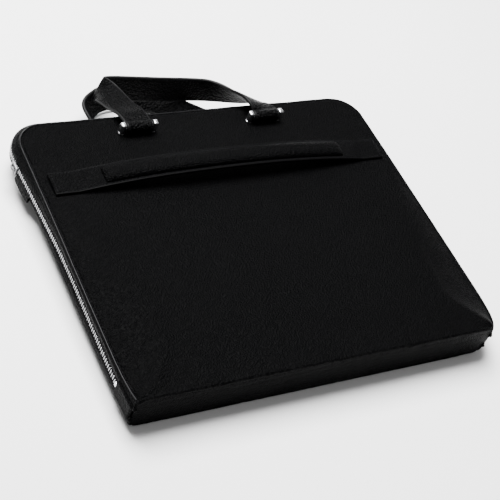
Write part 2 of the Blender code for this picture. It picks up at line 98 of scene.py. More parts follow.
BRACKET_SPACING = 142 * MM
BRACKET_DROP = 24 * MM
BRACKET_Y = HEIGHT / 2 - BRACKET_DROP
POST_WIDTH = 5 * MM
POST_DEPTH = 6.5 * MM
POST_HEIGHT = 12.8 * MM
POST_CLEARANCE = 0.5 * MM
BAR_DIAMETER = 4.4 * MM
BAR_RISE = 6.9 * MM

# The bag's own frame in the frame on the ground: it leans on the back brackets' posts
BAG_PLACE = np.array((1.4318, -34.4162, 0.3708)) * MM
LEAN = math.atan2(POST_HEIGHT, HEIGHT - BRACKET_DROP)
UP_THE_BAG = np.array((0.0, math.cos(LEAN), math.sin(LEAN)))
OFF_THE_FRONT = np.array((0.0, -math.sin(LEAN), math.cos(LEAN)))

# What only the visible pieces have
FACE_WALL = LEATHER * 0.8
GUSSET_WALL = 0.5 * MM
PATCH_WALL = 0.7 * MM
TAPE_WALL = 0.6 * MM
TAPE_SINK = 0.8 * MM            # the tape lies this far under the teeth's tops
OUTLINE_STEP = 2.2 * MM
EDGE_STRIP = 4 * MM             # the leather's relief fades out over this strip beside the seams
RIDGE_IN = 1.8 * MM             # the seams' turned edge stands up this far in from them
RIDGE_RISE = 0.95 * MM
RIDGE_HALF = 0.8 * MM
# half the width of the strip along the seams' turned edge that takes the painted highlight
RIDGE_HIGHLIGHT_HALF = 0.4 * MM
STITCH_IN = 3.8 * MM            # and the row of stitches runs here
STITCH_SINK = 0.75 * MM
STITCH_HALF = 0.9 * MM
SEAM_SINK = 0.4 * MM
SEAM_REACH = 0.5 * MM
GROOVE_IN = 0.9 * MM            # a strap's stitches draw a groove into it
GROOVE_HALF = 0.55 * MM
GROOVE_DEPTH = 0.3 * MM
TOOTH_FILL = 0.36               # a tooth's length as a share of the pitch
TOOTH_REACH = 0.84              # its width as a share of the chain's
TOOTH_SHIFT = 0.04              # and how far it stands to its own side

# Soft folds and hollows in the faces
BROAD_WAVE, BROAD_SHARE = 95 * MM, 0.9
MIDDLE_WAVE, MIDDLE_SHARE = 34 * MM, 0.28
GATHER_WAVE, GATHER_REACH, GATHER_SHARE = 6.5 * MM, 7 * MM, 1.2
TUCK_WAVE, TUCK_REACH, TUCK_SHARE = 8 * MM, 8 * MM, 0.7
RAYS, RAY_DEPTH, RAY_REACH, RAY_FADE = 7, 1.1 * MM, 26 * MM, 70 * MM    # folds that fan out of the corners
RAY_IN, RAY_UP = 6 * MM, 4 * MM
SAG_DEPTH, SAG_HALF_WIDTH, SAG_HALF_HEIGHT, SAG_DOWN = 1.1 * MM, 0.43 * WIDTH, 0.36 * HEIGHT, 25 * MM
CREST_HALF = 9 * MM             # a soft fold runs up the face from each lower corner
CREST_HEIGHTS = ((-1, 1.3 * MM), (1, 0.7 * MM))
CREST_UPS = [up * MM for up in (0, 4, 21, 44, 99, 134, 180)]
CREST_XS = [x * MM for x in (-183, -180, -166, -150, -150, -155, -168)]
CREST_FADES = (0.4, 0.9, 1.0, 1.0, 0.6, 0.3, 0.0)
HELD_REACH = 18 * MM            # the relief comes back this far from where the face is held flat
FRONT_SEED, BACK_SEED = 3.0, 11.0
NOISE_STEP = 7.31               # from one seed's place in the noise to the next one's

# Shares of the height, of the width and of the gusset, as in the solids
SIDE_COLUMNS = ("up", "shoulder", "square", "left", "right", "bulge")
SIDE_ROWS = (
    (0.000, 0.034, 2.20, 0.0070, 0.0380, 0.00),
    (0.018, 0.042, 1.90, 0.0050, 0.0210, 0.00),
    (0.062, 0.070, 1.40, 0.0030, 0.0080, -0.01),
    (0.110, 0.100, 1.30, 0.0020, 0.0035, -0.02),
    (0.164, 0.123, 1.30, 0.0015, 0.0015, -0.03),
    (0.308, 0.110, 1.40, 0.0020, 0.0020, -0.06),
    (0.450, 0.088, 1.60, 0.0028, 0.0028, -0.09),
    (0.560, 0.064, 1.80, 0.0036, 0.0036, -0.06),
    (0.700, 0.046, 2.00, 0.0045, 0.0045, 0.04),
    (0.850, 0.041, 2.00, 0.0055, 0.0055, 0.18),
    (1.000, 0.036, 2.00, 0.0064, 0.0064, 0.22),
)

# The handles' middle lines: x as a share of the brackets' spacing, out from the bar as a share of the reach,
# rise as a share of the room there, and the way across the strap
FRONT_ROUTE = (
    (-0.502, 0.100, 1.000, 1.00, 0.00, 0.00),
    (-0.515, 0.220, 0.985, 1.00, 0.00, 0.04),
    (-0.537, 0.368, 0.900, 0.99, 0.00, 0.10),
    (-0.566, 0.626, 0.780, 0.88, 0.03, 0.40),
    (-0.586, 0.765, 0.685, 0.26, 0.08, 0.95),
    (-0.463, 0.790, 0.623, 0.03, 0.22, 0.97),
    (-0.166, 0.742, 0.603, 0.00, 0.18, 0.98),
    (0.184, 0.675, 0.610, -0.05, 0.08, 0.98),
    (0.317, 0.588, 0.655, -0.30, 0.00, 0.95),
    (0.400, 0.440, 0.780, -0.58, -0.12, 0.79),
    (0.446, 0.290, 0.955, -0.82, -0.12, 0.54),
    (0.474, 0.180, 1.000, -0.91, -0.05, 0.38),
    (0.492, 0.110, 1.000, -0.98, 0.00, 0.18),
)
BACK_ROUTE = (
    (-0.505, 0.110, 1.000, -1.00, 0.00, 0.00),
    (-0.600, 0.350, 1.000, -0.90, 0.05, 0.42),
    (-0.668, 0.600, 1.000, -0.58, 0.12, 0.80),
    (-0.588, 0.745, 1.000, -0.38, 0.20, 0.90),
    (-0.466, 0.820, 1.000, -0.20, 0.35, 0.90),
    (-0.317, 0.830, 1.000, 0.20, 0.60, 0.75),
    (-0.134, 0.780, 1.000, 0.58, 0.70, 0.42),
    (0.041, 0.590, 1.000, 0.61, 0.70, 0.37),
    (0.246, 0.364, 1.000, 0.66, 0.70, 0.26),
    (0.430, 0.210, 1.000, 0.90, 0.40, 0.10),
    (0.498, 0.100, 1.000, 1.00, 0.00, 0.00),
)
ROUTE_STEPS = 12

CAMERA_PLACE = (-0.61234, -0.70362, 0.86897)
CAMERA_TURN = (43.9102, -17.0409, -25.7137)        # degrees
CAMERA_LENS, CAMERA_SENSOR = 94.252, 36.0          # mm
CAMERA_FAR = 50.0
FLOOR_HALF = 4.0


class BagLeather(bpy.types.PropertyGroup):
    colour: FloatVectorProperty(name="Leather", description="Colour of the dyed leather", subtype="COLOR",
                                size=3, min=0.0, max=1.0, default=(0.0005, 0.0005, 0.0006))
    # Lighter colour: on the pebbles' tops and along the straps' edges it is the leather's own tone; on convex
    # edges and on the seams' turned edge it is a painted highlight
    worn_and_highlight: FloatVectorProperty(name="Raised grain", description="Colour on the tops of the grain and at edges",
                              subtype="COLOR", size=3, min=0.0, max=1.0, default=(0.0026, 0.0026, 0.0028))
    grain: FloatProperty(name="Grain size", description="Width of one pebble of the grain",
                         default=1.6 * MM, min=0.3 * MM, max=5 * MM, unit="LENGTH")
    relief: FloatProperty(name="Grain depth", description="Depth of the grain", default=0.75 * MM,
                          min=0.0, max=1 * MM, unit="LENGTH")
    slack: FloatProperty(name="Slack", description="Depth of the soft hollows and swellings in the faces",
                         default=0.9 * MM, min=0.0, max=4 * MM, unit="LENGTH")
    pucker: FloatProperty(name="Pucker", description="Depth of the gathers beside the seams",
                          default=0.8 * MM, min=0.0, max=2 * MM, unit="LENGTH")


class BagThread(bpy.types.PropertyGroup):
    colour: FloatVectorProperty(name="Thread", description="Colour of the sewing thread", subtype="COLOR",
                                size=3, min=0.0, max=1.0, default=(0.0035, 0.0035, 0.004))
    pitch: FloatProperty(name="Stitch pitch", description="From one stitch to the next", default=3.4 * MM,
                         min=1 * MM, max=10 * MM, unit="LENGTH")
    thickness: FloatProperty(name="Thread thickness", description="Diameter of the thread",
                             default=0.62 * MM, min=0.1 * MM, max=2 * MM, unit="LENGTH")


class BagMetal(bpy.types.PropertyGroup):
    colour: FloatVectorProperty(name="Metal", description="Colour of the plated metal", subtype="COLOR",
                                size=3, min=0.0, max=1.0, default=(0.78, 0.78, 0.80))
    roughness: FloatProperty(name="Polish", description="Roughness of the plating", default=0.2, min=0.0,
                             max=1.0, subtype="FACTOR")
    tooth_pitch: FloatProperty(name="Tooth pitch", description="From one zip tooth to the next",
                               default=3.0 * MM, min=1 * MM, max=6 * MM, unit="LENGTH")


class BagStage(bpy.types.PropertyGroup):
    floor: FloatVectorProperty(name="Floor", description="Colour of the floor", subtype="COLOR", size=3,
                               min=0.0, max=1.0, default=(0.98, 0.98, 0.98))
    key: FloatProperty(name="Key light", description="Power of the large light over the bag",
                       default=175.0, min=0.0, max=1000.0, subtype="POWER")
    edge: FloatProperty(name="Edge light", description="Power of the long light behind the bag",
                        default=7.0, min=0.0, max=1000.0, subtype="POWER")
    air: FloatProperty(name="Surroundings", description="Brightness of the room", default=0.3, min=0.0,
                       max=10.0)


def soft_table():
    """The side sections between their rows, rounded off so that no row shows as a kink."""
    table = np.array(SIDE_ROWS)
    ups = np.linspace(0, 1, 401)
    reach, spread = 18, 6.0
    weights = np.exp(-0.5 * (np.arange(-reach, reach + 1) / spread) ** 2)
    weights /= weights.sum()
    columns = {}
    for index, name in enumerate(SIDE_COLUMNS):
        values = np.interp(ups, table[:, 0], table[:, index])
        before = 2 * values[0] - values[reach:0:-1]
        after = 2 * values[-1] - values[-2:-reach - 2:-1]
        columns[name] = np.convolve(np.concatenate([before, values, after]), weights, "valid")
    return ups, columns


TABLE_UPS, TABLE = soft_table()


def side_value(name, y):
    return np.interp((np.asarray(y) + HEIGHT / 2) / HEIGHT, TABLE_UPS, TABLE[name])


def depth_at(y):
    return DEPTH_BOTTOM + (DEPTH_TOP - DEPTH_BOTTOM) * (np.asarray(y) + HEIGHT / 2) / HEIGHT


def seam_x(y, side):
    into = np.clip(np.asarray(y) - CORNER_Y, 0, CORNER_RADIUS)
    rounding = CORNER_RADIUS - np.sqrt(CORNER_RADIUS ** 2 - into ** 2)
    inset = side_value("left" if side < 0 else "right", y) * WIDTH
    return side * (WIDTH / 2 - inset - rounding)


def from_seams(x, y):
    """How far in from the left and from the right side's seam."""
    return x - seam_x(y, -1), seam_x(y, 1) - x


def from_outline(x, y):
    """Distance in from the seams up both sides, round the corners and along the top."""
    level = np.minimum(y, CORNER_Y)
    into = CORNER_RADIUS - np.minimum(*from_seams(x, level))
    return CORNER_RADIUS - np.hypot(np.maximum(into, 0), np.maximum(y - CORNER_Y, 0))


def roll(share, square):
    """A quarter round that rises from 0 to 1; a higher square makes it boxier."""
    left = 1 - np.clip(share, 0, 1)
    return (1 - left ** square) ** (1 / square)


def hump(distance, half):
    return np.exp(-(distance / half) ** 2)


def fade(distance, reach):
    return np.exp(-distance / reach)


def face_height(x, y):
    """From the bag's middle plane to the plain face."""
    from_side = np.minimum(*from_seams(x, y)) / (side_value("shoulder", y) * WIDTH)
    from_top = (HEIGHT / 2 - y) / TOP_ROLL
    drop = (depth_at(y) - GUSSET_WIDTH) / 2
    return GUSSET_WIDTH / 2 + drop * roll(from_side, side_value("square", y)) * roll(from_top, 2.0)


def front_z(x, y):
    return depth_at(y) / 2 + face_height(x, y)


def bulge_at(y):
    return side_value("bulge", y) * GUSSET_WIDTH


def gusset_out(y, level):
    share = np.clip((GUSSET_WIDTH / 2 - np.abs(level)) / (GUSSET_WIDTH / 2 - SLOT_HALF), 0, 1)
    return bulge_at(y) * np.sin(share * math.pi / 2)


def lay(points):
    """From the bag's own frame to the frame in which it rests on the ground."""
    points = np.asarray(points, float)
    y, z = points[..., 1] + HEIGHT / 2, points[..., 2]
    laid = np.stack([points[..., 0], y * math.cos(LEAN) - z * math.sin(LEAN) - HEIGHT / 2,
                     y * math.sin(LEAN) + z * math.cos(LEAN)], axis=-1)
    return laid + BAG_PLACE


def soft_noise(places, size, seed):
    """Smooth noise between -1 and 1 at each place, with features of the given size."""
    flat = places.reshape(-1, 3) / size + seed * NOISE_STEP
    return np.array([noise.noise(Vector(place)) for place in flat]).reshape(places.shape[:-1])


def waves(x, y, size, seed):
    return soft_noise(np.stack([x, y, np.zeros_like(x)], axis=-1), size, seed)


def unit(vectors):
    return vectors / np.maximum(np.linalg.norm(vectors, axis=-1, keepdims=True), 1e-12)


def from_ends(count):
    """For each of some rows in line, how many rows it is from the nearer end."""
    return np.minimum(np.arange(count), np.arange(count)[::-1])


def new_piece(name, vertices, faces, finish):
    mesh = bpy.data.meshes.new(name)
    mesh.from_pydata(np.asarray(vertices).tolist(), [], [list(face) for face in faces])
    for part in finish:
        mesh.materials.append(finishes()[part])
    mesh.update()
    return link(name, mesh)


def link(name, data):
    made = bpy.data.objects.new(name, data)
    bpy.context.scene.collection.objects.link(made)
    return made


def finish_piece(piece, nodes):
    piece.data.shade_smooth()
    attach(piece, "root")
    if nodes:
        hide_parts(*nodes)
    return piece


def grid_faces(rows, columns, around=False):
    index = np.arange(rows * columns).reshape(rows, columns)
    if around:
        index = np.hstack([index, index[:, :1]])
    return np.stack([index[:-1, :-1], index[1:, :-1], index[1:, 1:], index[:-1, 1:]], axis=-1).reshape(-1, 4)


def face_out(grid, outward):
    """Turns a grid over where its middle doesn't face outward."""
    i, j = grid.shape[0] // 2, grid.shape[1] // 2
    normal = np.cross(grid[i + 1, j] - grid[i, j], grid[i, j + 1] - grid[i, j])
    return grid if np.dot(normal, outward) > 0 else grid[:, ::-1]


def wall(name, grid, outward, thickness, finish, nodes):
    """A wall of leather or cloth whose outer face is the grid."""
    grid = face_out(grid, outward)
    piece = new_piece(name, grid.reshape(-1, 3), grid_faces(*grid.shape[:2]), finish)
    solid = piece.modifiers.new("thickness", "SOLIDIFY")
    solid.thickness = thickness
    solid.offset = -1.0
    solid.use_even_offset = False
    return finish_piece(piece, nodes)


def closed_piece(name, rings, finish):
    """A closed form through rings of points, with a flat face over each end."""
    rows, count = rings.shape[:2]
    faces = [list(face) for face in grid_faces(rows, count, around=True)]
    faces += [list(range(count)), list(range(rows * count - 1, (rows - 1) * count - 1, -1))]
    piece = new_piece(name, rings.reshape(-1, 3), faces, finish)
    bm = bmesh.new()
    bm.from_mesh(piece.data)
    bmesh.ops.recalc_face_normals(bm, faces=bm.faces)
    bm.to_mesh(piece.data)
    bm.free()
    return piece


def rounded_profile(width, thickness, radius, crown, groove=0.0):
    """A flat strap's section: pairs across and off the strap, all the way round, and which are edges."""
    corner_steps, face_steps = 4, 30 if groove else 10
    span = width - 2 * radius
    pairs, edges = [], []
    for sign_a, sign_h, start in ((1, 1, 0), (-1, 1, 90), (-1, -1, 180), (1, -1, 270)):
        for turn in np.radians(start + np.linspace(0, 90, corner_steps + 1)):
            pairs.append((sign_a * span / 2 + radius * math.cos(turn),
                          sign_h * (thickness / 2 - radius) + radius * math.sin(turn)))
            edges.append(True)
        if sign_a == sign_h:
            for share in np.arange(1, face_steps) / face_steps:
                inset = min(share, 1 - share) * span
                lift = crown * 4 * share * (1 - share) - groove * hump(inset - GROOVE_IN, GROOVE_HALF)
                pairs.append((sign_a * (span / 2 - span * share), sign_h * (thickness / 2 + lift)))
                edges.append(False)
    return np.array(pairs), np.array(edges)


def sweep(name, middle, across, normal, profile, finish, nodes, scale=(1.0, 1.0)):
    """A strap swept along its middle line, closed at both ends; its edges take the second finish."""
    pairs, edges = profile
    size = np.broadcast_to(scale, (len(middle), 2))
    rings = (middle[:, None] + across[:, None] * (pairs[None, :, 0] * size[:, :1])[..., None]
             + normal[:, None] * (pairs[None, :, 1] * size[:, 1:])[..., None])
    piece = closed_piece(name, rings, finish)
    if len(finish) > 1:
        is_edge = np.tile(np.logical_and(edges, np.roll(edges, -1)), len(middle) - 1)
        piece.data.polygons.foreach_set("material_index", np.append(is_edge, (False, False)).astype(np.int32))
    return finish_piece(piece, nodes)


def template(build):
    """Vertices and faces of a shape that a function builds in a bmesh."""
    bm = bmesh.new()
    build(bm)
    bm.verts.index_update()
    points = np.array([vert.co[:] for vert in bm.verts])
    faces = [[vert.index for vert in face.verts] for face in bm.faces]
    bm.free()
    return points, faces


def rounded_block(size, bevel, segments=1):
    def build(bm):
        bmesh.ops.create_cube(bm, size=1.0)
        bmesh.ops.scale(bm, vec=size, verts=bm.verts)
        bmesh.ops.bevel(bm, geom=bm.edges[:], offset=bevel, segments=segments, profile=0.6, affect="EDGES")
    return template(build)


def repeat(name, shape, places, along, side, out, finish, slot, nodes):
    """Copies of one small shape, its x along, its y to the side and its z outwards."""
    points, faces = shape
    spread = (places[:, None] + along[:, None] * points[None, :, :1] + side[:, None] * points[None, :, 1:2]
              + out[:, None] * points[None, :, 2:])
    every = [[vertex + copy * len(points) for vertex in face]
             for copy in range(len(places)) for face in faces]
    return finish_piece(new_piece(name, spread.reshape(-1, 3), every, finish), nodes)


def evenly(path, off, pitch):
    """Places a pitch apart along a path, with the way ahead and the way off it at each."""
    path = np.asarray(path)
    run = np.append(0.0, np.cumsum(np.linalg.norm(np.diff(path, axis=0), axis=1)))
    at = np.linspace(0, run[-1], max(2, int(run[-1] / pitch)) + 1)
    at = (at[1:] + at[:-1]) / 2

    def read(values, where):
        return np.stack([np.interp(where, run, column) for column in values.T], axis=1)

    ahead, back = (read(path, at + step * pitch) for step in (0.2, -0.2))
    return read(path, at), unit(ahead - back), unit(read(np.broadcast_to(off, path.shape), at))


def stitch_shape(length, thickness):
    """One stitch: a short thread that dives into the leather at both ends."""
    def build(bm):
        bmesh.ops.create_uvsphere(bm, u_segments=6, v_segments=5, radius=0.5)
        bmesh.ops.rotate(bm, matrix=Matrix.Rotation(math.pi / 2, 3, "Y"), verts=bm.verts)
        for vert in bm.verts:
            vert.co.z -= 0.55 * (2 * vert.co.x) ** 4
        bmesh.ops.scale(bm, vec=(length, thickness, thickness * 0.9), verts=bm.verts)
    return template(build)


def stitches(name, runs):
    """Rows of stitches, each run a path and the direction off the leather along it."""
    thread = bpy.context.scene.bag_thread
    rows = []
    for path, off in runs:
        at, along, out = evenly(path, off, thread.pitch)
        out = unit(out - along * np.sum(out * along, axis=1, keepdims=True))
        rows.append((at + out * thread.thickness * 0.12, along, out))
    places, along, out = (np.vstack(part) for part in zip(*rows))
    shape = stitch_shape(thread.pitch * 0.74, thread.thickness)
    repeat(name, shape, places, along, np.cross(out, along), out,
           ("thread",), "leather", ())


class Nodes:
    """A material's nodes, made and wired by short names."""

    def __init__(self, name):
        self.made = bpy.data.materials.new(name)
        self.made.use_nodes = True
        self.tree = self.made.node_tree
        self.where = self.add("TexCoord").outputs["Object"]

    def add(self, kind, inputs=(), **settings):
        node = self.tree.nodes.new("ShaderNode" + kind)
        for key, value in settings.items():
            setattr(node, key, value)
        for socket, value in inputs:
            self.put(node.inputs[socket], value)
        return node

    def put(self, socket, value):
        if isinstance(value, bpy.types.NodeSocket):
            self.tree.links.new(value, socket)
        else:
            socket.default_value = value

    def ramp(self, factor, low, high, dark, light):
        node = self.add("ValToRGB", [("Fac", factor)])
        for element, place, colour in zip(node.color_ramp.elements, (low, high), (dark, light)):
            element.position = place
            element.color = (*colour, 1.0)
        return node.outputs["Color"]

    def level(self, value, low, high, low_out, high_out):
        return self.add("MapRange", [("Value", value), ("From Min", low), ("From Max", high),
                                     ("To Min", low_out), ("To Max", high_out)]).outputs["Result"]

    def math(self, operation, a, b):
        return self.add("Math", [(0, a), (1, b)], operation=operation).outputs["Value"]

    def vector(self, operation, *inputs):
        return self.add("VectorMath", inputs, operation=operation).outputs["Vector"]

    def noise(self, scale, detail, rough, where=None):
        return self.add("TexNoise", [("Vector", where or self.where), ("Scale", scale), ("Detail", detail),
                                     ("Roughness", rough)]).outputs["Fac"]

    def ribs(self, scale, distortion, direction):
        return self.add("TexWave", [("Vector", self.where), ("Scale", scale), ("Distortion", distortion)],
                        bands_direction=direction).outputs["Fac"]

    def bump(self, height, strength, depth, *under):
        inputs = [("Strength", strength), ("Distance", depth), ("Height", height)]
        return self.add("Bump", inputs + [("Normal", normal) for normal in under]).outputs["Normal"]

    def surface(self, colour, roughness, normal=None, gloss=None, metallic=0.0):
        """Wires the shader; what is the same all over is set on its own socket."""
        inputs = self.tree.nodes["Principled BSDF"].inputs
        self.put(inputs["Base Color"], colour)
        self.put(inputs["Roughness"], roughness)
        if normal is not None:
            self.put(inputs["Normal"], normal)
        if gloss is not None:
            inputs["Specular IOR Level"].default_value = gloss
        inputs["Metallic"].default_value = metallic
        return self.made


def leather_finish(name, roughness, gloss, grain_share=1.0):
    """Pebbled leather: uneven cells with soft tops, fine pores between, tone that drifts, and a painted
    highlight in the lighter colour on convex edges.
    """
    leather = bpy.context.scene.bag_leather
    nodes = Nodes(name)
    size = leather.grain * grain_share
    stir = nodes.add("TexNoise", [("Vector", nodes.where), ("Scale", 0.35 / size), ("Detail", 2.0)])
    shift = nodes.vector("SUBTRACT", (0, stir.outputs["Color"]), (1, (0.5, 0.5, 0.5)))
    shift = nodes.vector("SCALE", (0, shift), ("Scale", size * 1.3))
    moved = nodes.vector("ADD", (0, nodes.where), (1, shift))
    pebbles = nodes.add("TexVoronoi", [("Vector", moved), ("Scale", 1 / size), ("Smoothness", 0.35)],
                        feature="SMOOTH_F1").outputs["Distance"]
    small = nodes.add("TexVoronoi", [("Vector", moved), ("Scale", 2.3 / size)],
                      feature="F1").outputs["Distance"]
    top = nodes.level(pebbles, 0.1, 0.75, 1.0, 0.0)
    height = nodes.math("ADD", top, nodes.math("MULTIPLY", small, -0.22))
    height = nodes.math("ADD", height, nodes.math("MULTIPLY", nodes.noise(5.5 / size, 2.0, 0.6), 0.25))
    pebbled = nodes.bump(height, 0.9, leather.relief * grain_share)
    creased = nodes.bump(nodes.noise(90.0, 3.0, 0.65), 0.35, 0.5 * MM, pebbled)
    drift = nodes.noise(14.0, 4.0, 0.6)
    tone = nodes.math("ADD", nodes.math("MULTIPLY", top, 0.55), nodes.math("MULTIPLY", drift, 0.5))
    colour = nodes.ramp(tone, 0.45, 1.05, leather.colour, leather.worn_and_highlight)
    # Painted highlight: convex edges, found by their pointiness, take the lighter colour
    convex_edge_highlight = nodes.level(nodes.add("NewGeometry").outputs["Pointiness"], 0.53, 0.62, 0.0, 0.5)
    mixed = nodes.add("Mix", [("Factor", convex_edge_highlight), ("A", colour), ("B", (*leather.worn_and_highlight, 1.0))],
                      data_type="RGBA")
    rough = nodes.math("ADD", nodes.level(drift, 0.3, 0.7, roughness - 0.06, roughness + 0.06),
                       nodes.level(top, 0.0, 1.0, 0.12, 0.0))
    return nodes.surface(mixed.outputs["Result"], rough, creased, gloss)


def edge_finish(name, gloss):
    """The painted edge of a strap: smooth, glossier than its faces, a little uneven."""
    leather = bpy.context.scene.bag_leather
    nodes = Nodes(name)
    wave = nodes.noise(260.0, 3.0, 0.6)
    return nodes.surface(nodes.ramp(wave, 0.3, 0.8, leather.colour, leather.worn_and_highlight),
                         nodes.level(wave, 0.3, 0.7, 0.42, 0.52), nodes.bump(wave, 0.5, 0.1 * MM), gloss)


def ridge_finish():
    """The seams' turned edge, polished by wear, with its lighter colour a painted highlight."""
    worn_and_highlight = bpy.context.scene.bag_leather.worn_and_highlight
    nodes = Nodes("seam_edge_painted_highlight")
    wave = nodes.noise(420.0, 3.0, 0.6)
    return nodes.surface(nodes.ramp(wave, 0.3, 0.7, worn_and_highlight, [value * 5 for value in worn_and_highlight]),
                         nodes.level(wave, 0.3, 0.7, 0.32, 0.45), gloss=0.1)


def metal_finish(name, rough_share=1.0, shade=1.0):
    """Plated metal, a little cloudy, with fine hairlines; shade scales its colour, and on the slider this
    darkening is painted shade.
    """
    metal = bpy.context.scene.bag_metal
    bright = [value * shade for value in metal.colour]
    roughness = metal.roughness * rough_share
    nodes = Nodes(name)
    cloud = nodes.noise(160.0, 4.0, 0.6)
    drawn = nodes.add("Mapping", [("Vector", nodes.where), ("Scale", (1.0, 14.0, 14.0))]).outputs["Vector"]
    return nodes.surface(nodes.ramp(cloud, 0.3, 0.7, [value * 0.78 for value in bright], bright),
                         nodes.level(cloud, 0.3, 0.7, roughness * 0.8, roughness * 1.4),
                         nodes.bump(nodes.noise(420.0, 2.0, 0.5, drawn), 0.12, 0.03 * MM), metallic=1.0)


def thread_finish():
    colour = bpy.context.scene.bag_thread.colour
    nodes = Nodes("thread")
    twist = nodes.ribs(900.0, 1.5, "DIAGONAL")
    return nodes.surface(nodes.ramp(twist, 0.2, 0.9, colour, [min(1.0, value * 2.2) for value in colour]),
                         nodes.level(twist, 0.0, 1.0, 0.62, 0.45), nodes.bump(twist, 0.6, 0.08 * MM), 0.05)


def tape_finish():
    """Woven zip tape: fine ribs both ways."""
    nodes = Nodes("zip_tape_cloth")
    weave = nodes.math("MULTIPLY", nodes.ribs(520.0, 0.3, "Y"), nodes.ribs(640.0, 0.3, "Z"))
    return nodes.surface(nodes.ramp(weave, 0.0, 0.9, (0.0008, 0.0008, 0.001), (0.006, 0.006, 0.0065)),
                         nodes.level(weave, 0.0, 1.0, 0.9, 0.7), nodes.bump(weave, 0.7, 0.15 * MM), 0.05)


def floor_finish():
    colour = bpy.context.scene.bag_stage.floor
    nodes = Nodes("pale_floor")
    mottle = nodes.noise(3.0, 2.0, 0.4)
    return nodes.surface(nodes.ramp(mottle, 0.3, 0.7, [value * 0.985 for value in colour], colour),
                         nodes.level(mottle, 0.3, 0.7, 0.75, 0.85))


FINISHES = {}


def finishes():
    """The materials, made once."""
    if not FINISHES:
        FINISHES.update(
            face=leather_finish("pebbled_leather", 0.4, 0.02),
            strap=leather_finish("strap_leather", 0.34, 0.03, 1.45),
            edge=edge_finish("painted_edge", 0.13),
            dull_edge=edge_finish("luggage_strap_edge", 0.04),
            ridge=ridge_finish(),
            metal=metal_finish("plated_metal"),
            teeth=metal_finish("zip_tooth_metal", 1.3, 0.5),
            # Painted shade: the slider's metal is the plated metal darkened to a shaded copy
            slider=metal_finish("zip_slider_metal_painted_shade", 1.6, 0.16),
            thread=thread_finish(),
            tape=tape_finish(),
            floor=floor_finish(),
        )
    return FINISHES


def strap_rise(x):
    """How far the luggage strap's underside stands off the face."""
    free = STRAP_LENGTH / 2 - STRAP_SEWN
    return GAP + STRAP_BOW * (1 - np.minimum(np.abs(x) / free, 1.0) ** STRAP_BOW_POWER)


def held_flat(x, y):
    """1 where the face is sewn down to the strap's ends or carries a bracket, falling to 0 around."""
    far = np.ones_like(x)
    for place_x, place_y, half_x, half_y in (
            ((STRAP_LENGTH - STRAP_SEWN) / 2, STRAP_Y, STRAP_SEWN / 2, STRAP_WIDTH / 2),
            (BRACKET_SPACING / 2, BRACKET_Y, 20 * MM, 6 * MM)):
        gap_x = np.maximum(np.abs(np.abs(x) - place_x) - half_x, 0)
        gap_y = np.maximum(np.abs(y - place_y) - half_y, 0)
        far = np.minimum(far, np.hypot(gap_x, gap_y) / HELD_REACH)
    return 1 - far ** 0.7


def seam_ridge(x, y):
    """The turned edge stands up beside the seam; the row of stitches pulls the leather down inside it."""
    inward = from_outline(x, y)
    return (RIDGE_RISE * hump(inward - RIDGE_IN, RIDGE_HALF)
            - STITCH_SINK * hump(inward - STITCH_IN, STITCH_HALF)
            - SEAM_SINK * fade(inward, SEAM_REACH))


def face_relief(x, y, seed):
    """How far the soft leather stands off its plain shape."""
    leather = bpy.context.scene.bag_leather
    up = y + HEIGHT / 2
    relief = leather.slack * (BROAD_SHARE * waves(x, y, BROAD_WAVE, seed)
                              + MIDDLE_SHARE * waves(x, y * 1.3, MIDDLE_WAVE, seed + 1))
    gathers = waves(x, y * 0.25, GATHER_WAVE, seed + 2) * fade(up, GATHER_REACH)
    tucks = (waves(x * 0.2, y, TUCK_WAVE, seed + 3)
             * sum(fade(inward, TUCK_REACH) for inward in from_seams(x, y)))
    relief += leather.pucker * (GATHER_SHARE * gathers + TUCK_SHARE * tucks)
    for inward in from_seams(x, y):
        near = fade(np.hypot(inward - RAY_IN, up - RAY_UP), RAY_REACH)
        rays = np.sin(np.arctan2(up, inward) * RAYS + seed) * near
        relief += RAY_DEPTH * fade(up, RAY_FADE) * rays
    for hand, height in CREST_HEIGHTS:
        crest = -hand * np.interp(up, CREST_UPS, CREST_XS)
        relief += height * np.interp(up, CREST_UPS, CREST_FADES) * hump(x - crest, CREST_HALF)
    sag = (np.clip(1 - (x / SAG_HALF_WIDTH) ** 2, 0, 1)
           * np.clip(1 - ((y + SAG_DOWN) / SAG_HALF_HEIGHT) ** 2, 0, 1))
    return (relief - SAG_DEPTH * sag ** 0.8) * (1 - held_flat(x, y))


def face_plan():
    """Places over a face, row by row from the bottom, closest together beside the seams."""
    low = 14 * MM
    ys = np.concatenate([-HEIGHT / 2 + np.linspace(0, 1, 12, endpoint=False) ** 1.6 * low,
                         np.linspace(-HEIGHT / 2 + low, CORNER_Y, 120, endpoint=False),
                         CORNER_Y + CORNER_RADIUS * np.sin(np.linspace(0, math.pi / 2, 26))])
    fine = np.arange(15) * 0.45 * MM
    rows = []
    for y in ys:
        left, right = float(seam_x(y, -1)), float(seam_x(y, 1))
        shoulder = float(side_value("shoulder", y)) * WIDTH
        into = np.concatenate([fine, np.linspace(fine[-1], shoulder, 18)[1:]])
        xs = np.concatenate([left + into, np.linspace(left + shoulder, right - shoulder, 132)[1:-1],
                             right - into[::-1]])
        rows.append(np.stack([xs, np.full_like(xs, y)], axis=-1))
    return np.array(rows)


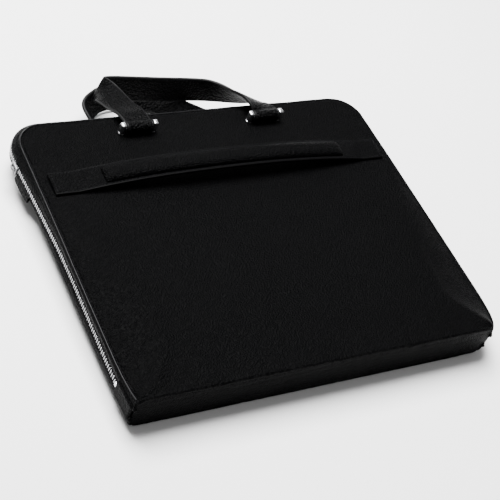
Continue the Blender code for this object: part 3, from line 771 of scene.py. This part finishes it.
def face_grid(side):
    """The outer face of the front (side 1) or the back (side -1), with its edges turned in at the seams."""
    x, y = np.moveaxis(face_plan(), -1, 0)
    middle, from_top = depth_at(y) / 2, HEIGHT / 2 - y
    free = np.clip(np.minimum(*from_seams(x, y)) / EDGE_STRIP, 0, 1) * np.clip(from_top / EDGE_STRIP, 0, 1)
    height = face_height(x, y) + face_relief(x, y, FRONT_SEED if side > 0 else BACK_SEED) * free
    height += seam_ridge(x, y) * np.clip(from_top / MM, 0, 1)
    if side < 0:
        height = np.minimum(height, middle - 0.02 * MM)      # the back's own plane holds it
    grid = np.stack([x, y, middle + side * height], axis=-1)

    radius = 2.4 * MM
    turned = [grid[0] + (0, radius * (0.9 - math.sin(angle)), -side * radius * (1 - math.cos(angle)))
              for angle in np.radians((90, 70, 50, 30, 12))]
    tucked = turned[0] + (0, 1.3 * MM, -side * 0.5 * MM)
    grid = np.concatenate([[tucked], turned, grid[y[:, 0] > -HEIGHT / 2 + radius]])
    under = -side * 0.9 * MM
    grid = np.concatenate([grid[:, :1] + (MM, 0, under), grid, grid[:, -1:] + (-MM, 0, under)], axis=1)
    return np.concatenate([grid, grid[-1:] + (0, -MM, under)])


def build_faces():
    """The two big faces, with a painted highlight on their seams' turned edges, and the stitches beside the
    seams.
    """
    for name, side in (("front", 1), ("back", -1)):
        outward = (0.0, 0.0, side)
        grid = face_out(face_grid(side), outward)
        piece = wall(f"{name}_leather", lay(grid), outward, FACE_WALL, ("face", "ridge"),
                     [f"{name}_panel"])
        # The strip along the seams' turned edge takes the ridge finish: glossier, with a painted highlight in
        # its lighter colour
        inward = from_outline(grid[..., 0], grid[..., 1])
        off_ridge = np.abs((inward[:-1, :-1] + inward[1:, 1:]) / 2 - RIDGE_IN)
        worn_and_highlight = (off_ridge < RIDGE_HIGHLIGHT_HALF) & (grid[:-1, :-1, 1] > -HEIGHT / 2 + EDGE_STRIP)
        piece.data.polygons.foreach_set("material_index", worn_and_highlight.reshape(-1).astype(np.int32))
    place, out = outline(16 * MM)
    x, y = (place - out * STITCH_IN).T
    height = face_height(x, y) + seam_ridge(x, y)
    stitches("seam_stitches", [(lay(np.stack([x, y, depth_at(y) / 2 + side * height], axis=1)),
                                np.insert(out * 0.6, 2, side * 0.8, axis=1)) for side in (1, -1)])


def build_bottom():
    """The bottom panel fills the opening between the faces, with gathers along its seams."""
    leather = bpy.context.scene.bag_leather
    y = -HEIGHT / 2
    left, right = float(seam_x(y, -1)) + 1.2 * MM, float(seam_x(y, 1)) - 1.2 * MM
    fine = 15 * MM
    ends = 2 * fine * (0.5 - 0.5 * np.cos(np.linspace(0, math.pi / 2, 14)))
    xs = np.concatenate([left + ends, np.linspace(left + fine, right - fine, 240)[1:-1], right - ends[::-1]])
    half = (face_height(xs, np.full_like(xs, y)) - MM)[:, None]
    levels = -np.cos(np.linspace(0, math.pi, 36)) * half
    x = np.broadcast_to(xs[:, None], levels.shape)
    from_edge = half - np.abs(levels)
    near = fade(from_edge, 6 * MM)
    gathers = waves(x, levels * 0.3, 7 * MM, 21)
    broad = waves(x, levels * 2, 42 * MM, 23)
    creases = waves(x * 0.22, levels * 1.5, 6 * MM, 25)
    swell = np.sqrt(np.clip(1 - (levels / half) ** 2, 0, 1))
    free = np.clip(np.minimum(x - left, right - x) / (10 * MM), 0, 1)
    out = free * (0.9 * MM * swell + leather.slack * 0.5 * broad
                  + leather.pucker * (1.5 * gathers * near + 1.2 * creases * near ** 0.6))
    edge = np.clip(from_edge / (1.6 * MM), 0, 1)
    ys = y + 1.1 * MM * (1 - roll(edge, 2.0)) - out * edge + 0.5 * MM
    wall("bottom_leather", lay(np.stack([x, ys, DEPTH_BOTTOM / 2 + levels], axis=-1)), (0, -1, 0), FACE_WALL,
         ("face",), ["bottom_panel"])


def outline(low):
    """Places along the seams and outward directions: up the left side, over the top, down the right."""
    count = int((HEIGHT - CORNER_RADIUS - low) / OUTLINE_STEP)
    ys = np.linspace(low - HEIGHT / 2, CORNER_Y, count, endpoint=False)
    turns = np.linspace(0, math.pi / 2, 22)
    places, outs = [], []
    for side in (-1, 1):
        turned = np.stack([side * np.cos(turns), np.sin(turns)], axis=1)
        centre = (float(seam_x(CORNER_Y, side)) - side * CORNER_RADIUS, CORNER_Y)
        straight = np.stack([seam_x(ys, side), ys], axis=1)
        places.append(np.concatenate([straight, centre + CORNER_RADIUS * turned]))
        outs.append(np.concatenate([np.tile((side, 0.0), (count, 1)), turned]))
    xs = np.linspace(places[0][-1, 0], places[1][-1, 0], 150)[1:-1]
    top = np.stack([xs, np.full_like(xs, HEIGHT / 2)], axis=1)
    return (np.concatenate([places[0], top, places[1][::-1]]),
            np.concatenate([outs[0], np.tile((0.0, 1.0), (len(xs), 1)), outs[1][::-1]]))


def on_gusset(place, out, level, proud):
    """Points over the seams at a level from the middle plane, standing out by proud."""
    proud = np.broadcast_to(proud, place.shape[:1])[:, None]
    return np.insert(place + out * proud, 2, depth_at(place[:, 1]) / 2 + level, axis=1)


def build_gusset():
    """Two bands of leather, folded in beside the zip, with a row of stitches along each fold."""
    leather = bpy.context.scene.bag_leather
    place, out = outline(0.0)
    y = place[:, 1]
    seam, fold, tuck = GUSSET_WIDTH / 2 - GAP / 2, SLOT_HALF + 0.2 * MM, 2.2 * MM
    sewn = fold + 2.0 * MM
    above = y > -HEIGHT / 2 + ZIP_END - 4 * MM
    runs = []
    for name, side in (("front", 1), ("back", -1)):
        drift = soft_noise(np.insert(place, 2, side * 0.1, axis=1), 30 * MM, 31)
        columns = [on_gusset(place, out, side * (seam - 0.2 * MM), -tuck)]
        for share in np.linspace(0, 1, 12):
            level = seam + (fold - seam) * share
            rounded = 1.1 * MM * (2 - roll(share * 5.5, 2.0) - roll((1 - share) * 4.5, 2.0))
            belly = (0.5 * MM + leather.pucker * drift) * math.sin(share * math.pi)
            columns.append(on_gusset(place, out, side * level, gusset_out(y, level) - rounded + belly))
        columns.append(on_gusset(place, out, side * (fold + 0.1 * MM), bulge_at(y) - tuck))
        wall(f"gusset_{name}_leather", lay(np.stack(columns, axis=1)), UP_THE_BAG, GUSSET_WALL, ("face",),
             [f"gusset_{name}"])
        path = lay(on_gusset(place, out, side * sewn, gusset_out(y, sewn) + 0.35 * MM))
        runs.append((path[above], np.insert(out, 2, side * 0.25, axis=1)[above]))
    stitches("gusset_stitches", runs)


def beside(sign):
    """For one piece on a side of the bag: up the bag, off its front and out of that side."""
    return UP_THE_BAG[None], OFF_THE_FRONT[None], np.array([[float(sign), 0.0, 0.0]])


def build_zip():
    """Woven tape, metal teeth from both sides in turn and a stop at each end."""
    place, out = outline(LEATHER + GAP)
    under = bulge_at(place[:, 1]) + CHAIN_PROUD - TAPE_SINK
    half = SLOT_HALF + 1.0 * MM
    columns = [on_gusset(place, out, level, under) for level in np.linspace(-half, half, 7)]
    wall("zip_tape_cloth", lay(np.stack(columns, axis=1)), UP_THE_BAG, TAPE_WALL, ("tape",),
         ["zip_tape"])

    pitch = bpy.context.scene.bag_metal.tooth_pitch
    place, out = outline(ZIP_END)
    ride = bulge_at(place[:, 1]) + CHAIN_PROUD - CHAIN_HEIGHT / 2
    tooth = rounded_block((pitch * TOOTH_FILL, CHAIN_WIDTH * TOOTH_REACH, CHAIN_HEIGHT), 0.3 * MM)
    at, along, up = evenly(lay(on_gusset(place, out, 0.0, ride)), np.insert(out, 2, 0.0, axis=1), pitch)
    side = unit(np.cross(up, along))
    hand = np.where(np.arange(len(at)) % 2 == 0, 1.0, -1.0)[:, None]
    repeat("zip_teeth", tooth, at + side * hand * CHAIN_WIDTH * TOOTH_SHIFT, along, side, up, ("teeth",),
           "zip_metal", ["zip_chain"])

    height = CHAIN_HEIGHT + CHAIN_PROUD * 0.6
    stop = rounded_block((STOP_LENGTH, CHAIN_WIDTH * 0.8, height), 0.55 * MM, 3)
    y = ZIP_END - GAP - STOP_LENGTH / 2 - HEIGHT / 2
    for name, sign in (("left", -1), ("right", 1)):
        x = float(seam_x(y, sign)) + sign * (float(bulge_at(y)) + CHAIN_PROUD * 1.6 - height / 2)
        repeat("zip_end_" + name, stop, lay([[x, y, float(depth_at(y)) / 2]]), *beside(sign), ("metal",),
               "zip_metal", ["zip_stop_" + name])


def side_path(low, high, side, level, proud, count):
    """Points up one side between two heights over the bottom, at a level from the middle plane."""
    ys = np.linspace(low, high, count) - HEIGHT / 2
    x = seam_x(ys, side) + side * (np.maximum(gusset_out(ys, level), 0) + proud)
    return np.stack([x, ys, depth_at(ys) / 2 + level], axis=1)


def build_patches():
    """Leather patches sewn over the zip's two ends."""
    rows, inset = 30, 2.0 * MM
    half = GUSSET_WIDTH / 2 - PATCH_MARGIN
    top = ZIP_END - GAP - STOP_LENGTH - GAP
    low, high, wide = PATCH_MARGIN + inset, top - inset, half - inset
    corners = ((low, -wide), (high, -wide), (high, wide), (low, wide), (low, -wide))
    fall = PATCH_THICKNESS * 0.8 * (1 - roll(from_ends(rows) / 2.0, 2.0))
    runs = []
    for name, side in (("left", -1), ("right", 1)):
        columns = []
        for level in half * np.sin(np.linspace(-math.pi / 2, math.pi / 2, 18)):
            edge = roll((half - abs(level)) / (1.4 * MM), 2.0)
            column = side_path(PATCH_MARGIN, top, side, level, PATCH_THICKNESS * edge + GAP, rows)
            column[:, 0] -= side * fall
            columns.append(column)
        wall("zip_patch_leather_" + name, lay(np.stack(columns, axis=1)), (side, 0, 0), PATCH_WALL, ("face",),
             ["zip_patch_" + name])
        for (up, level), (next_up, next_level) in zip(corners, corners[1:]):
            path = [side_path(a, a, side, b, PATCH_THICKNESS + GAP, 1)[0]
                    for a, b in zip(np.linspace(up, next_up, 12), np.linspace(level, next_level, 12))]
            runs.append((lay(path), (side, 0, 0)))
    stitches("zip_patch_stitches", runs)


def tube(name, path, sideways, radius, flat=1.0):
    """A rod of the slider's metal along a path; sideways is a direction that is never along it."""
    turns = np.linspace(0, 2 * math.pi, 12, endpoint=False)
    section = np.stack([radius * np.cos(turns), radius * np.sin(turns)], axis=1)
    along = unit(np.gradient(path, axis=0))
    across = unit(np.cross(along, sideways))
    sweep(name, path, across, np.cross(along, across), (section, None), ("slider",), (),
          (1.0, flat))


def build_slider():
    """The zip's slider with its bridge, a ring, and the leather puller turned to the back."""
    y = SLIDER_UP - HEIGHT / 2
    x = float(seam_x(y, -1)) - float(bulge_at(y)) - CHAIN_PROUD - GAP
    middle = float(depth_at(y)) / 2
    points, faces = rounded_block((SLIDER_LENGTH, SLIDER_WIDTH, SLIDER_HEIGHT), 0.9 * MM, 4)
    share = points[:, 0] / SLIDER_LENGTH
    points[:, 1] *= 1.0 - 0.5 * np.maximum(0.0, -share) ** 1.3 - 0.12 * np.maximum(0.0, share)
    points[:, 2] *= 1.0 - 0.25 * np.abs(share)
    # The slider's finish is the plated metal darkened as painted shade
    repeat("zip_slider_plate", (points, faces), lay([[x - SLIDER_HEIGHT / 2, y, middle]]), *beside(-1),
           ("slider",), "hardware", ["zip_slider"])
    top_x = x - SLIDER_HEIGHT * 0.85
    turns = np.linspace(0, math.pi, 15)
    arch = np.stack([top_x - 2.0 * MM * np.sin(turns), y - 3.6 * MM * np.cos(turns),
                     np.full(15, middle)], axis=1)
    tube("zip_slider_bridge", lay(arch), (0, 0, 1), 0.75 * MM, flat=1.9)
    turns = np.linspace(0, 2 * math.pi, 29)
    ring = np.stack([top_x - 0.75 * MM + 0.66 * MM * (1 - np.cos(turns)),
                     y - 1.8 * MM + 1.5 * MM * np.sin(turns),
                     middle - 3.6 * MM + 3.8 * MM * np.cos(turns)], axis=1)
    tube("zip_puller_ring", lay(ring), (1, 0, 0), 0.5 * MM)

    rows = 30
    top = SLIDER_UP - SLIDER_LENGTH / 2 - GAP
    level = -SLOT_HALF - GAP - PULLER_WIDTH / 2
    path = side_path(top - PULLER_LENGTH, top + 1.5 * MM, -1, level, 2 * GAP + LEATHER / 2, rows)
    path[:, 0] -= 0.5 * MM * np.sin(np.linspace(0, math.pi, rows)) + 0.2 * MM
    path = lay(path)
    forward = unit(np.gradient(path, axis=0))
    across = unit(np.cross(forward, (-1.0, 0, 0.35)))
    width = np.clip(from_ends(rows) / 2.0, 0.7, 1.0) ** 0.5
    sweep("zip_puller_tab", path, across, np.cross(forward, across),
          rounded_profile(PULLER_WIDTH, LEATHER, 0.7 * MM, 0.3 * MM), ("strap", "edge"),
          ["zip_puller"], np.stack([width, np.ones(rows)], axis=1))
    sewn = across * (PULLER_WIDTH / 2 - 1.3 * MM)
    stitches("zip_puller_stitches", [((path + sewn * sign - (LEATHER * 0.55, 0, 0))[2:-2], (-1, 0, 0))
                                     for sign in (-1, 1)])


def strap_frame(xs, off):
    """The luggage strap's line, off its underside, with the ways up the bag and out of the strap."""
    ys = np.full_like(xs, STRAP_Y)
    line = lay(np.stack([xs, ys, front_z(xs, ys) + strap_rise(xs) + off], axis=1))
    across = np.tile(UP_THE_BAG, (len(xs), 1))
    return line, across, unit(np.cross(unit(np.gradient(line, axis=0)), across))


def strap_band():
    """The flat band, sewn down at both ends; gives the runs of its stitches."""
    end, tip = STRAP_LENGTH / 2, 2.5 * MM
    fine = tip * np.linspace(0, 1, 6)[:-1] ** 1.5
    xs = np.concatenate([-end + fine, np.linspace(-end + tip, end - tip, 150), end - fine[::-1]])
    wave = waves(xs, 0 * xs, 40 * MM, 41) * 0.35 * MM
    wave *= np.clip((end - STRAP_SEWN - np.abs(xs)) / (20 * MM), 0, 1)
    line, across, normal = strap_frame(xs, STRAP_THICKNESS / 2 + wave)
    full = roll((end - np.abs(xs)) / (1.2 * MM), 2.0)
    sweep("luggage_strap_band", line, across, normal,
          rounded_profile(STRAP_WIDTH, STRAP_THICKNESS, 1.1 * MM, 0.0, GROOVE_DEPTH), ("face", "dull_edge"),
          ["luggage_strap"], np.stack([0.96 + 0.04 * full, 0.55 + 0.45 * full], axis=1))
    runs = []
    for sign in (-1, 1):
        path = line + across * sign * (STRAP_WIDTH / 2 - 2.0 * MM) + normal * (STRAP_THICKNESS / 2 - 0.2 * MM)
        runs.append((path[6:-6], normal[6:-6]))
        k = int(np.argmin(np.abs(xs - sign * (end - 2.2 * MM))))
        shares = np.linspace(-1, 1, 10)[:, None] * (STRAP_WIDTH / 2 - 2.6 * MM)
        runs.append((line[k] + across[k] * shares + normal[k] * STRAP_THICKNESS / 2, normal[k]))
    return runs


def strap_roll():
    """The padded roll along the middle of the band."""
    shares = np.sin(np.linspace(-math.pi / 2, math.pi / 2, 130))
    xs = shares * PAD_LENGTH / 2
    line, across, normal = strap_frame(xs, STRAP_THICKNESS)
    ends = roll((1 - np.abs(shares)) * 16, 2.0)
    wrinkle = waves(xs, 0 * xs, 9 * MM, 43)
    half, base_half = PAD_WIDTH / 2 * (0.93 + 0.07 * ends), PAD_WIDTH / 2 * 0.93
    rings = []
    for aside in np.sin(np.linspace(-math.pi / 2, math.pi / 2, 22)):
        crown = roll((1 - abs(aside)) * 1.25, 2.1) * ends
        height = GAP * 0.3 + PAD_HEIGHT * crown * (1 + 0.05 * wrinkle * (1 - 0.6 * aside ** 2))
        rings.append(line + across * (aside * half)[:, None] + normal * height[:, None])
    rings += [line + across * aside * base_half + normal * GAP * 0.2 for aside in np.linspace(1, -1, 6)]
    pad = closed_piece("strap_roll", np.stack(rings, axis=1), ("face",))
    finish_piece(pad, ["strap_pad"])


def build_luggage_strap():
    runs = strap_band()
    strap_roll()
    stitches("luggage_strap_stitches", runs)


def smooth_route(points):
    """A smooth curve through the points of a route, and their other values with it."""
    table = np.array(points, float)
    padded = np.vstack([2 * table[0] - table[1], table, 2 * table[-1] - table[-2]])
    made = []
    for k in range(1, len(table)):
        before, start, end, after = padded[k - 1:k + 3]
        for t in np.arange(ROUTE_STEPS) / ROUTE_STEPS:
            made.append(0.5 * (2 * start + (end - before) * t
                               + (2 * before - 5 * start + 4 * end - after) * t ** 2
                               + (3 * start - before - 3 * end + after) * t ** 3))
    made.append(table[-1])
    return np.array(made)


def bar_place(side, x):
    z = float(front_z(0.0, BRACKET_Y)) + BAR_RISE if side > 0 else -BAR_RISE
    return lay([x, BRACKET_Y, z])


def lap_route(side, x, across):
    """The leather's end, turned back on itself round the bar."""
    bar = bar_place(side, x)
    radius = BAR_DIAMETER / 2 + GAP + HANDLE_THICKNESS / 2
    turns = np.radians(np.arange(290, 60, -12))
    profile = [(LAP_LENGTH, -LAP_LAYER), (LAP_LENGTH * 0.6, -LAP_LAYER), (radius * 1.35, -LAP_LAYER * 1.25),
               *zip(radius * np.cos(turns), radius * np.sin(turns)),
               (radius * 1.35, LAP_LAYER * 0.85), (LAP_LENGTH * 0.75, LAP_LAYER)]
    return [(bar[0], bar[1] + out, bar[2] + side * rise, across, 0.0, 0.0) for out, rise in profile]


def handle_rows(side, route):
    """A handle's middle line and way across: round one bar, along its route and round the other."""
    bar, ground = bar_place(side, 0.0), BAG_PLACE[2]
    across = route[0][3]
    left = lap_route(side, -BRACKET_SPACING / 2, across)
    right = lap_route(side, BRACKET_SPACING / 2, -across)[::-1]
    rows = [left[-1]]
    for x, out, rise, *way in route:
        tilt = abs(way[2]) / math.hypot(*way)
        if side > 0:
            z = (bar[2] - ground + LAP_LAYER) * rise
        else:
            upright = HANDLE_WIDTH / 2 * tilt + HANDLE_THICKNESS / 2 * math.sqrt(1 - tilt ** 2)
            z = max(upright * rise + HANDLE_LIFT, (bar[2] - ground - LAP_LAYER) * (1 - tilt))
        rows.append((x * BRACKET_SPACING + BAG_PLACE[0], bar[1] + out * HANDLE_REACH, ground + z, *way))
    rows.append(right[0])
    return np.vstack([left[:-1], smooth_route(rows), right[1:]])


def build_handles():
    """Two flat straps looped over the brackets' bars, with painted edges and rows of stitches."""
    profile = rounded_profile(HANDLE_WIDTH, HANDLE_THICKNESS, 1.2 * MM, 0.25 * MM, GROOVE_DEPTH)
    lift = HANDLE_THICKNESS / 2 - 0.12 * MM
    shares = np.linspace(-1, 1, 9)[:, None] * (HANDLE_WIDTH / 2 - 3.4 * MM)
    runs = []
    for name, side, route in (("front", 1, FRONT_ROUTE), ("back", -1, BACK_ROUTE)):
        rows = handle_rows(side, route)
        middle = rows[:, :3]
        for _ in range(3):
            middle[1:-1] = 0.5 * middle[1:-1] + 0.25 * (middle[:-2] + middle[2:])
        along = unit(np.gradient(middle, axis=0))
        across = unit(rows[:, 3:] - along * np.sum(rows[:, 3:] * along, axis=1, keepdims=True))
        normal = np.cross(along, across)
        sweep(f"handle_{name}_strap", middle, across, normal, profile, ("strap", "edge"),
              [f"handle_{name}"])
        lap_end = bar_place(side, 0.0)[1] + LAP_LENGTH * 0.85
        laps = np.flatnonzero(np.abs(middle[:, 1] - lap_end) < 1.2 * MM)
        for off in (-normal, normal):
            for hand in (-1, 1):
                line = middle + across * hand * (HANDLE_WIDTH / 2 - 2.1 * MM) + off * lift
                runs.append((line[2:-2], off[2:-2]))
            for k in (laps[1], laps[-2]):
                runs.append((middle[k] + across[k] * shares + off[k] * lift, off[k]))
    stitches("handle_stitches", runs)


def bracket_shape(side):
    """Plated posts with softly rounded heads and flared feet, joined by a round bar."""
    post_x = HANDLE_WIDTH / 2 + POST_CLEARANCE + POST_WIDTH / 2
    height, foot_height = POST_HEIGHT - GAP, 1.3 * MM

    def build(bm):
        for end in (-1, 1):
            made = bmesh.ops.create_cube(bm, size=1.0)["verts"]
            bmesh.ops.scale(bm, vec=(POST_WIDTH, POST_DEPTH, height), verts=made)
            edges = list({edge for vert in made for edge in vert.link_edges})
            grown = bmesh.ops.bevel(bm, geom=edges, offset=POST_WIDTH * 0.3, segments=5, profile=0.5,
                                    affect="EDGES")
            block = list({vert for item in grown["faces"] for vert in item.verts})
            bmesh.ops.translate(bm, vec=(end * post_x, 0, side * (GAP + height / 2)), verts=block)
            foot = bmesh.ops.create_cone(bm, cap_ends=True, segments=28, radius1=POST_DEPTH * 0.56,
                                         radius2=POST_DEPTH * 0.47, depth=foot_height)["verts"]
            if side < 0:
                bmesh.ops.rotate(bm, matrix=Matrix.Rotation(math.pi, 3, "X"), verts=foot)
            bmesh.ops.translate(bm, vec=(end * post_x, 0, side * (GAP + foot_height / 2)), verts=foot)
        bar = bmesh.ops.create_cone(bm, cap_ends=True, segments=32, radius1=BAR_DIAMETER / 2,
                                    radius2=BAR_DIAMETER / 2, depth=2 * post_x,
                                    matrix=Matrix.Rotation(math.pi / 2, 4, "Y"))["verts"]
        bmesh.ops.translate(bm, vec=(0, 0, side * BAR_RISE), verts=bar)
        bmesh.ops.recalc_face_normals(bm, faces=bm.faces)
    return template(build)


def build_brackets():
    """The four brackets, those on the back turned over."""
    for face, side, base in (("front", 1, float(front_z(0.0, BRACKET_Y))), ("back", -1, 0.0)):
        points, faces = bracket_shape(side)
        for hand, sign in (("left", -1), ("right", 1)):
            place = lay(points + (sign * BRACKET_SPACING / 2, BRACKET_Y, base))
            finish_piece(new_piece(f"bracket_{face}_{hand}_metal", place, faces, ("metal",)),
                         [f"bracket_{face}_{hand}"])


def area_light(name, place, aim, width, height, power):
    data = bpy.data.lights.new(name, "AREA")
    data.shape = "RECTANGLE"
    data.size, data.size_y = width, height
    data.energy = power
    lamp = link(name, data)
    lamp.location = place
    lamp.rotation_euler = (Vector(aim) - Vector(place)).to_track_quat("-Z", "Y").to_euler()


def build_stage():
    """The photograph's camera, a pale floor, a large light over the bag and a long one behind it."""
    stage = bpy.context.scene.bag_stage
    data = bpy.data.cameras.new("photo_camera")
    data.sensor_width = CAMERA_SENSOR
    data.lens = CAMERA_LENS
    data.clip_end = CAMERA_FAR
    camera = link("photo_camera", data)
    camera.location = CAMERA_PLACE
    camera.rotation_euler = [math.radians(turn) for turn in CAMERA_TURN]
    bpy.context.scene.camera = camera

    grid = template(lambda bm: bmesh.ops.create_grid(bm, x_segments=8, y_segments=8, size=FLOOR_HALF))
    new_piece("floor", *grid, ("floor",))

    world = bpy.data.worlds.new("studio_air")
    world.use_nodes = True
    shade = world.node_tree.nodes["Background"]
    shade.inputs["Color"].default_value = (1.0, 1.0, 1.0, 1.0)
    shade.inputs["Strength"].default_value = stage.air
    bpy.context.scene.world = world

    area_light("key_light", (-0.15, 0.65, 1.65), (0, 0, 0), 1.2, 1.2, stage.key)
    area_light("edge_light", (0.3, 1.5, 0.9), (0, 0.05, 0.03), 1.8, 0.5, stage.edge)


class BagOperator:
    """What the bag's operators share."""
    bl_options = {"REGISTER", "UNDO"}
    steps = ()

    def execute(self, context):
        for step in self.steps:
            step()
        return {"FINISHED"}


class BAG_OT_stage(BagOperator, bpy.types.Operator):
    """Set up the camera, the floor and the lights"""
    bl_idname = "bag.stage"
    bl_label = "Stage"
    steps = (build_stage,)


class BAG_OT_shell(BagOperator, bpy.types.Operator):
    """Build the front, back and bottom leather"""
    bl_idname = "bag.shell"
    bl_label = "Front, back and bottom"
    steps = (build_faces, build_bottom)


class BAG_OT_gusset(BagOperator, bpy.types.Operator):
    """Build the leather bands on both sides of the zip"""
    bl_idname = "bag.gusset"
    bl_label = "Gusset"
    steps = (build_gusset,)


class BAG_OT_zip(BagOperator, bpy.types.Operator):
    """Build the zip's tape, teeth, end stops and end patches"""
    bl_idname = "bag.zip"
    bl_label = "Zip"
    steps = (build_zip, build_patches)


class BAG_OT_slider(BagOperator, bpy.types.Operator):
    """Build the zip's slider and its leather puller"""
    bl_idname = "bag.slider"
    bl_label = "Slider"
    steps = (build_slider,)


class BAG_OT_luggage_strap(BagOperator, bpy.types.Operator):
    """Build the strap across the front and the padded roll on it"""
    bl_idname = "bag.luggage_strap"
    bl_label = "Luggage strap"
    steps = (build_luggage_strap,)


class BAG_OT_handles(BagOperator, bpy.types.Operator):
    """Build both handles"""
    bl_idname = "bag.handles"
    bl_label = "Handles"
    steps = (build_handles,)


class BAG_OT_brackets(BagOperator, bpy.types.Operator):
    """Build the four metal brackets"""
    bl_idname = "bag.brackets"
    bl_label = "Brackets"
    steps = (build_brackets,)


GROUPS = (("bag_leather", BagLeather), ("bag_thread", BagThread), ("bag_metal", BagMetal),
          ("bag_stage", BagStage))
OPERATORS = (BAG_OT_stage, BAG_OT_shell, BAG_OT_gusset, BAG_OT_zip, BAG_OT_slider, BAG_OT_luggage_strap,
             BAG_OT_handles, BAG_OT_brackets)


class BAG_PT_panel(bpy.types.Panel):
    """Lists the bag's settings and pieces"""
    bl_idname = "BAG_PT_panel"
    bl_label = "Business bag"
    bl_space_type = "VIEW_3D"
    bl_region_type = "UI"
    bl_category = "Bag"

    def draw(self, context):
        for operator in OPERATORS:
            self.layout.operator(operator.bl_idname)
        for label, group in GROUPS:
            box = self.layout.box()
            for key in group.__annotations__:
                box.prop(getattr(context.scene, label), key)


CLASSES = tuple(group for _, group in GROUPS) + OPERATORS + (BAG_PT_panel,)


def register():
    for made in CLASSES:
        bpy.utils.register_class(made)
    for label, group in GROUPS:
        setattr(bpy.types.Scene, label, PointerProperty(type=group))


def unregister():
    for label, _ in GROUPS:
        delattr(bpy.types.Scene, label)
    for made in reversed(CLASSES):
        bpy.utils.unregister_class(made)


def main():
    register()
    for operator in OPERATORS:
        group, name = operator.bl_idname.split(".")
        getattr(getattr(bpy.ops, group), name)()


if __name__ == "__main__":
    main()
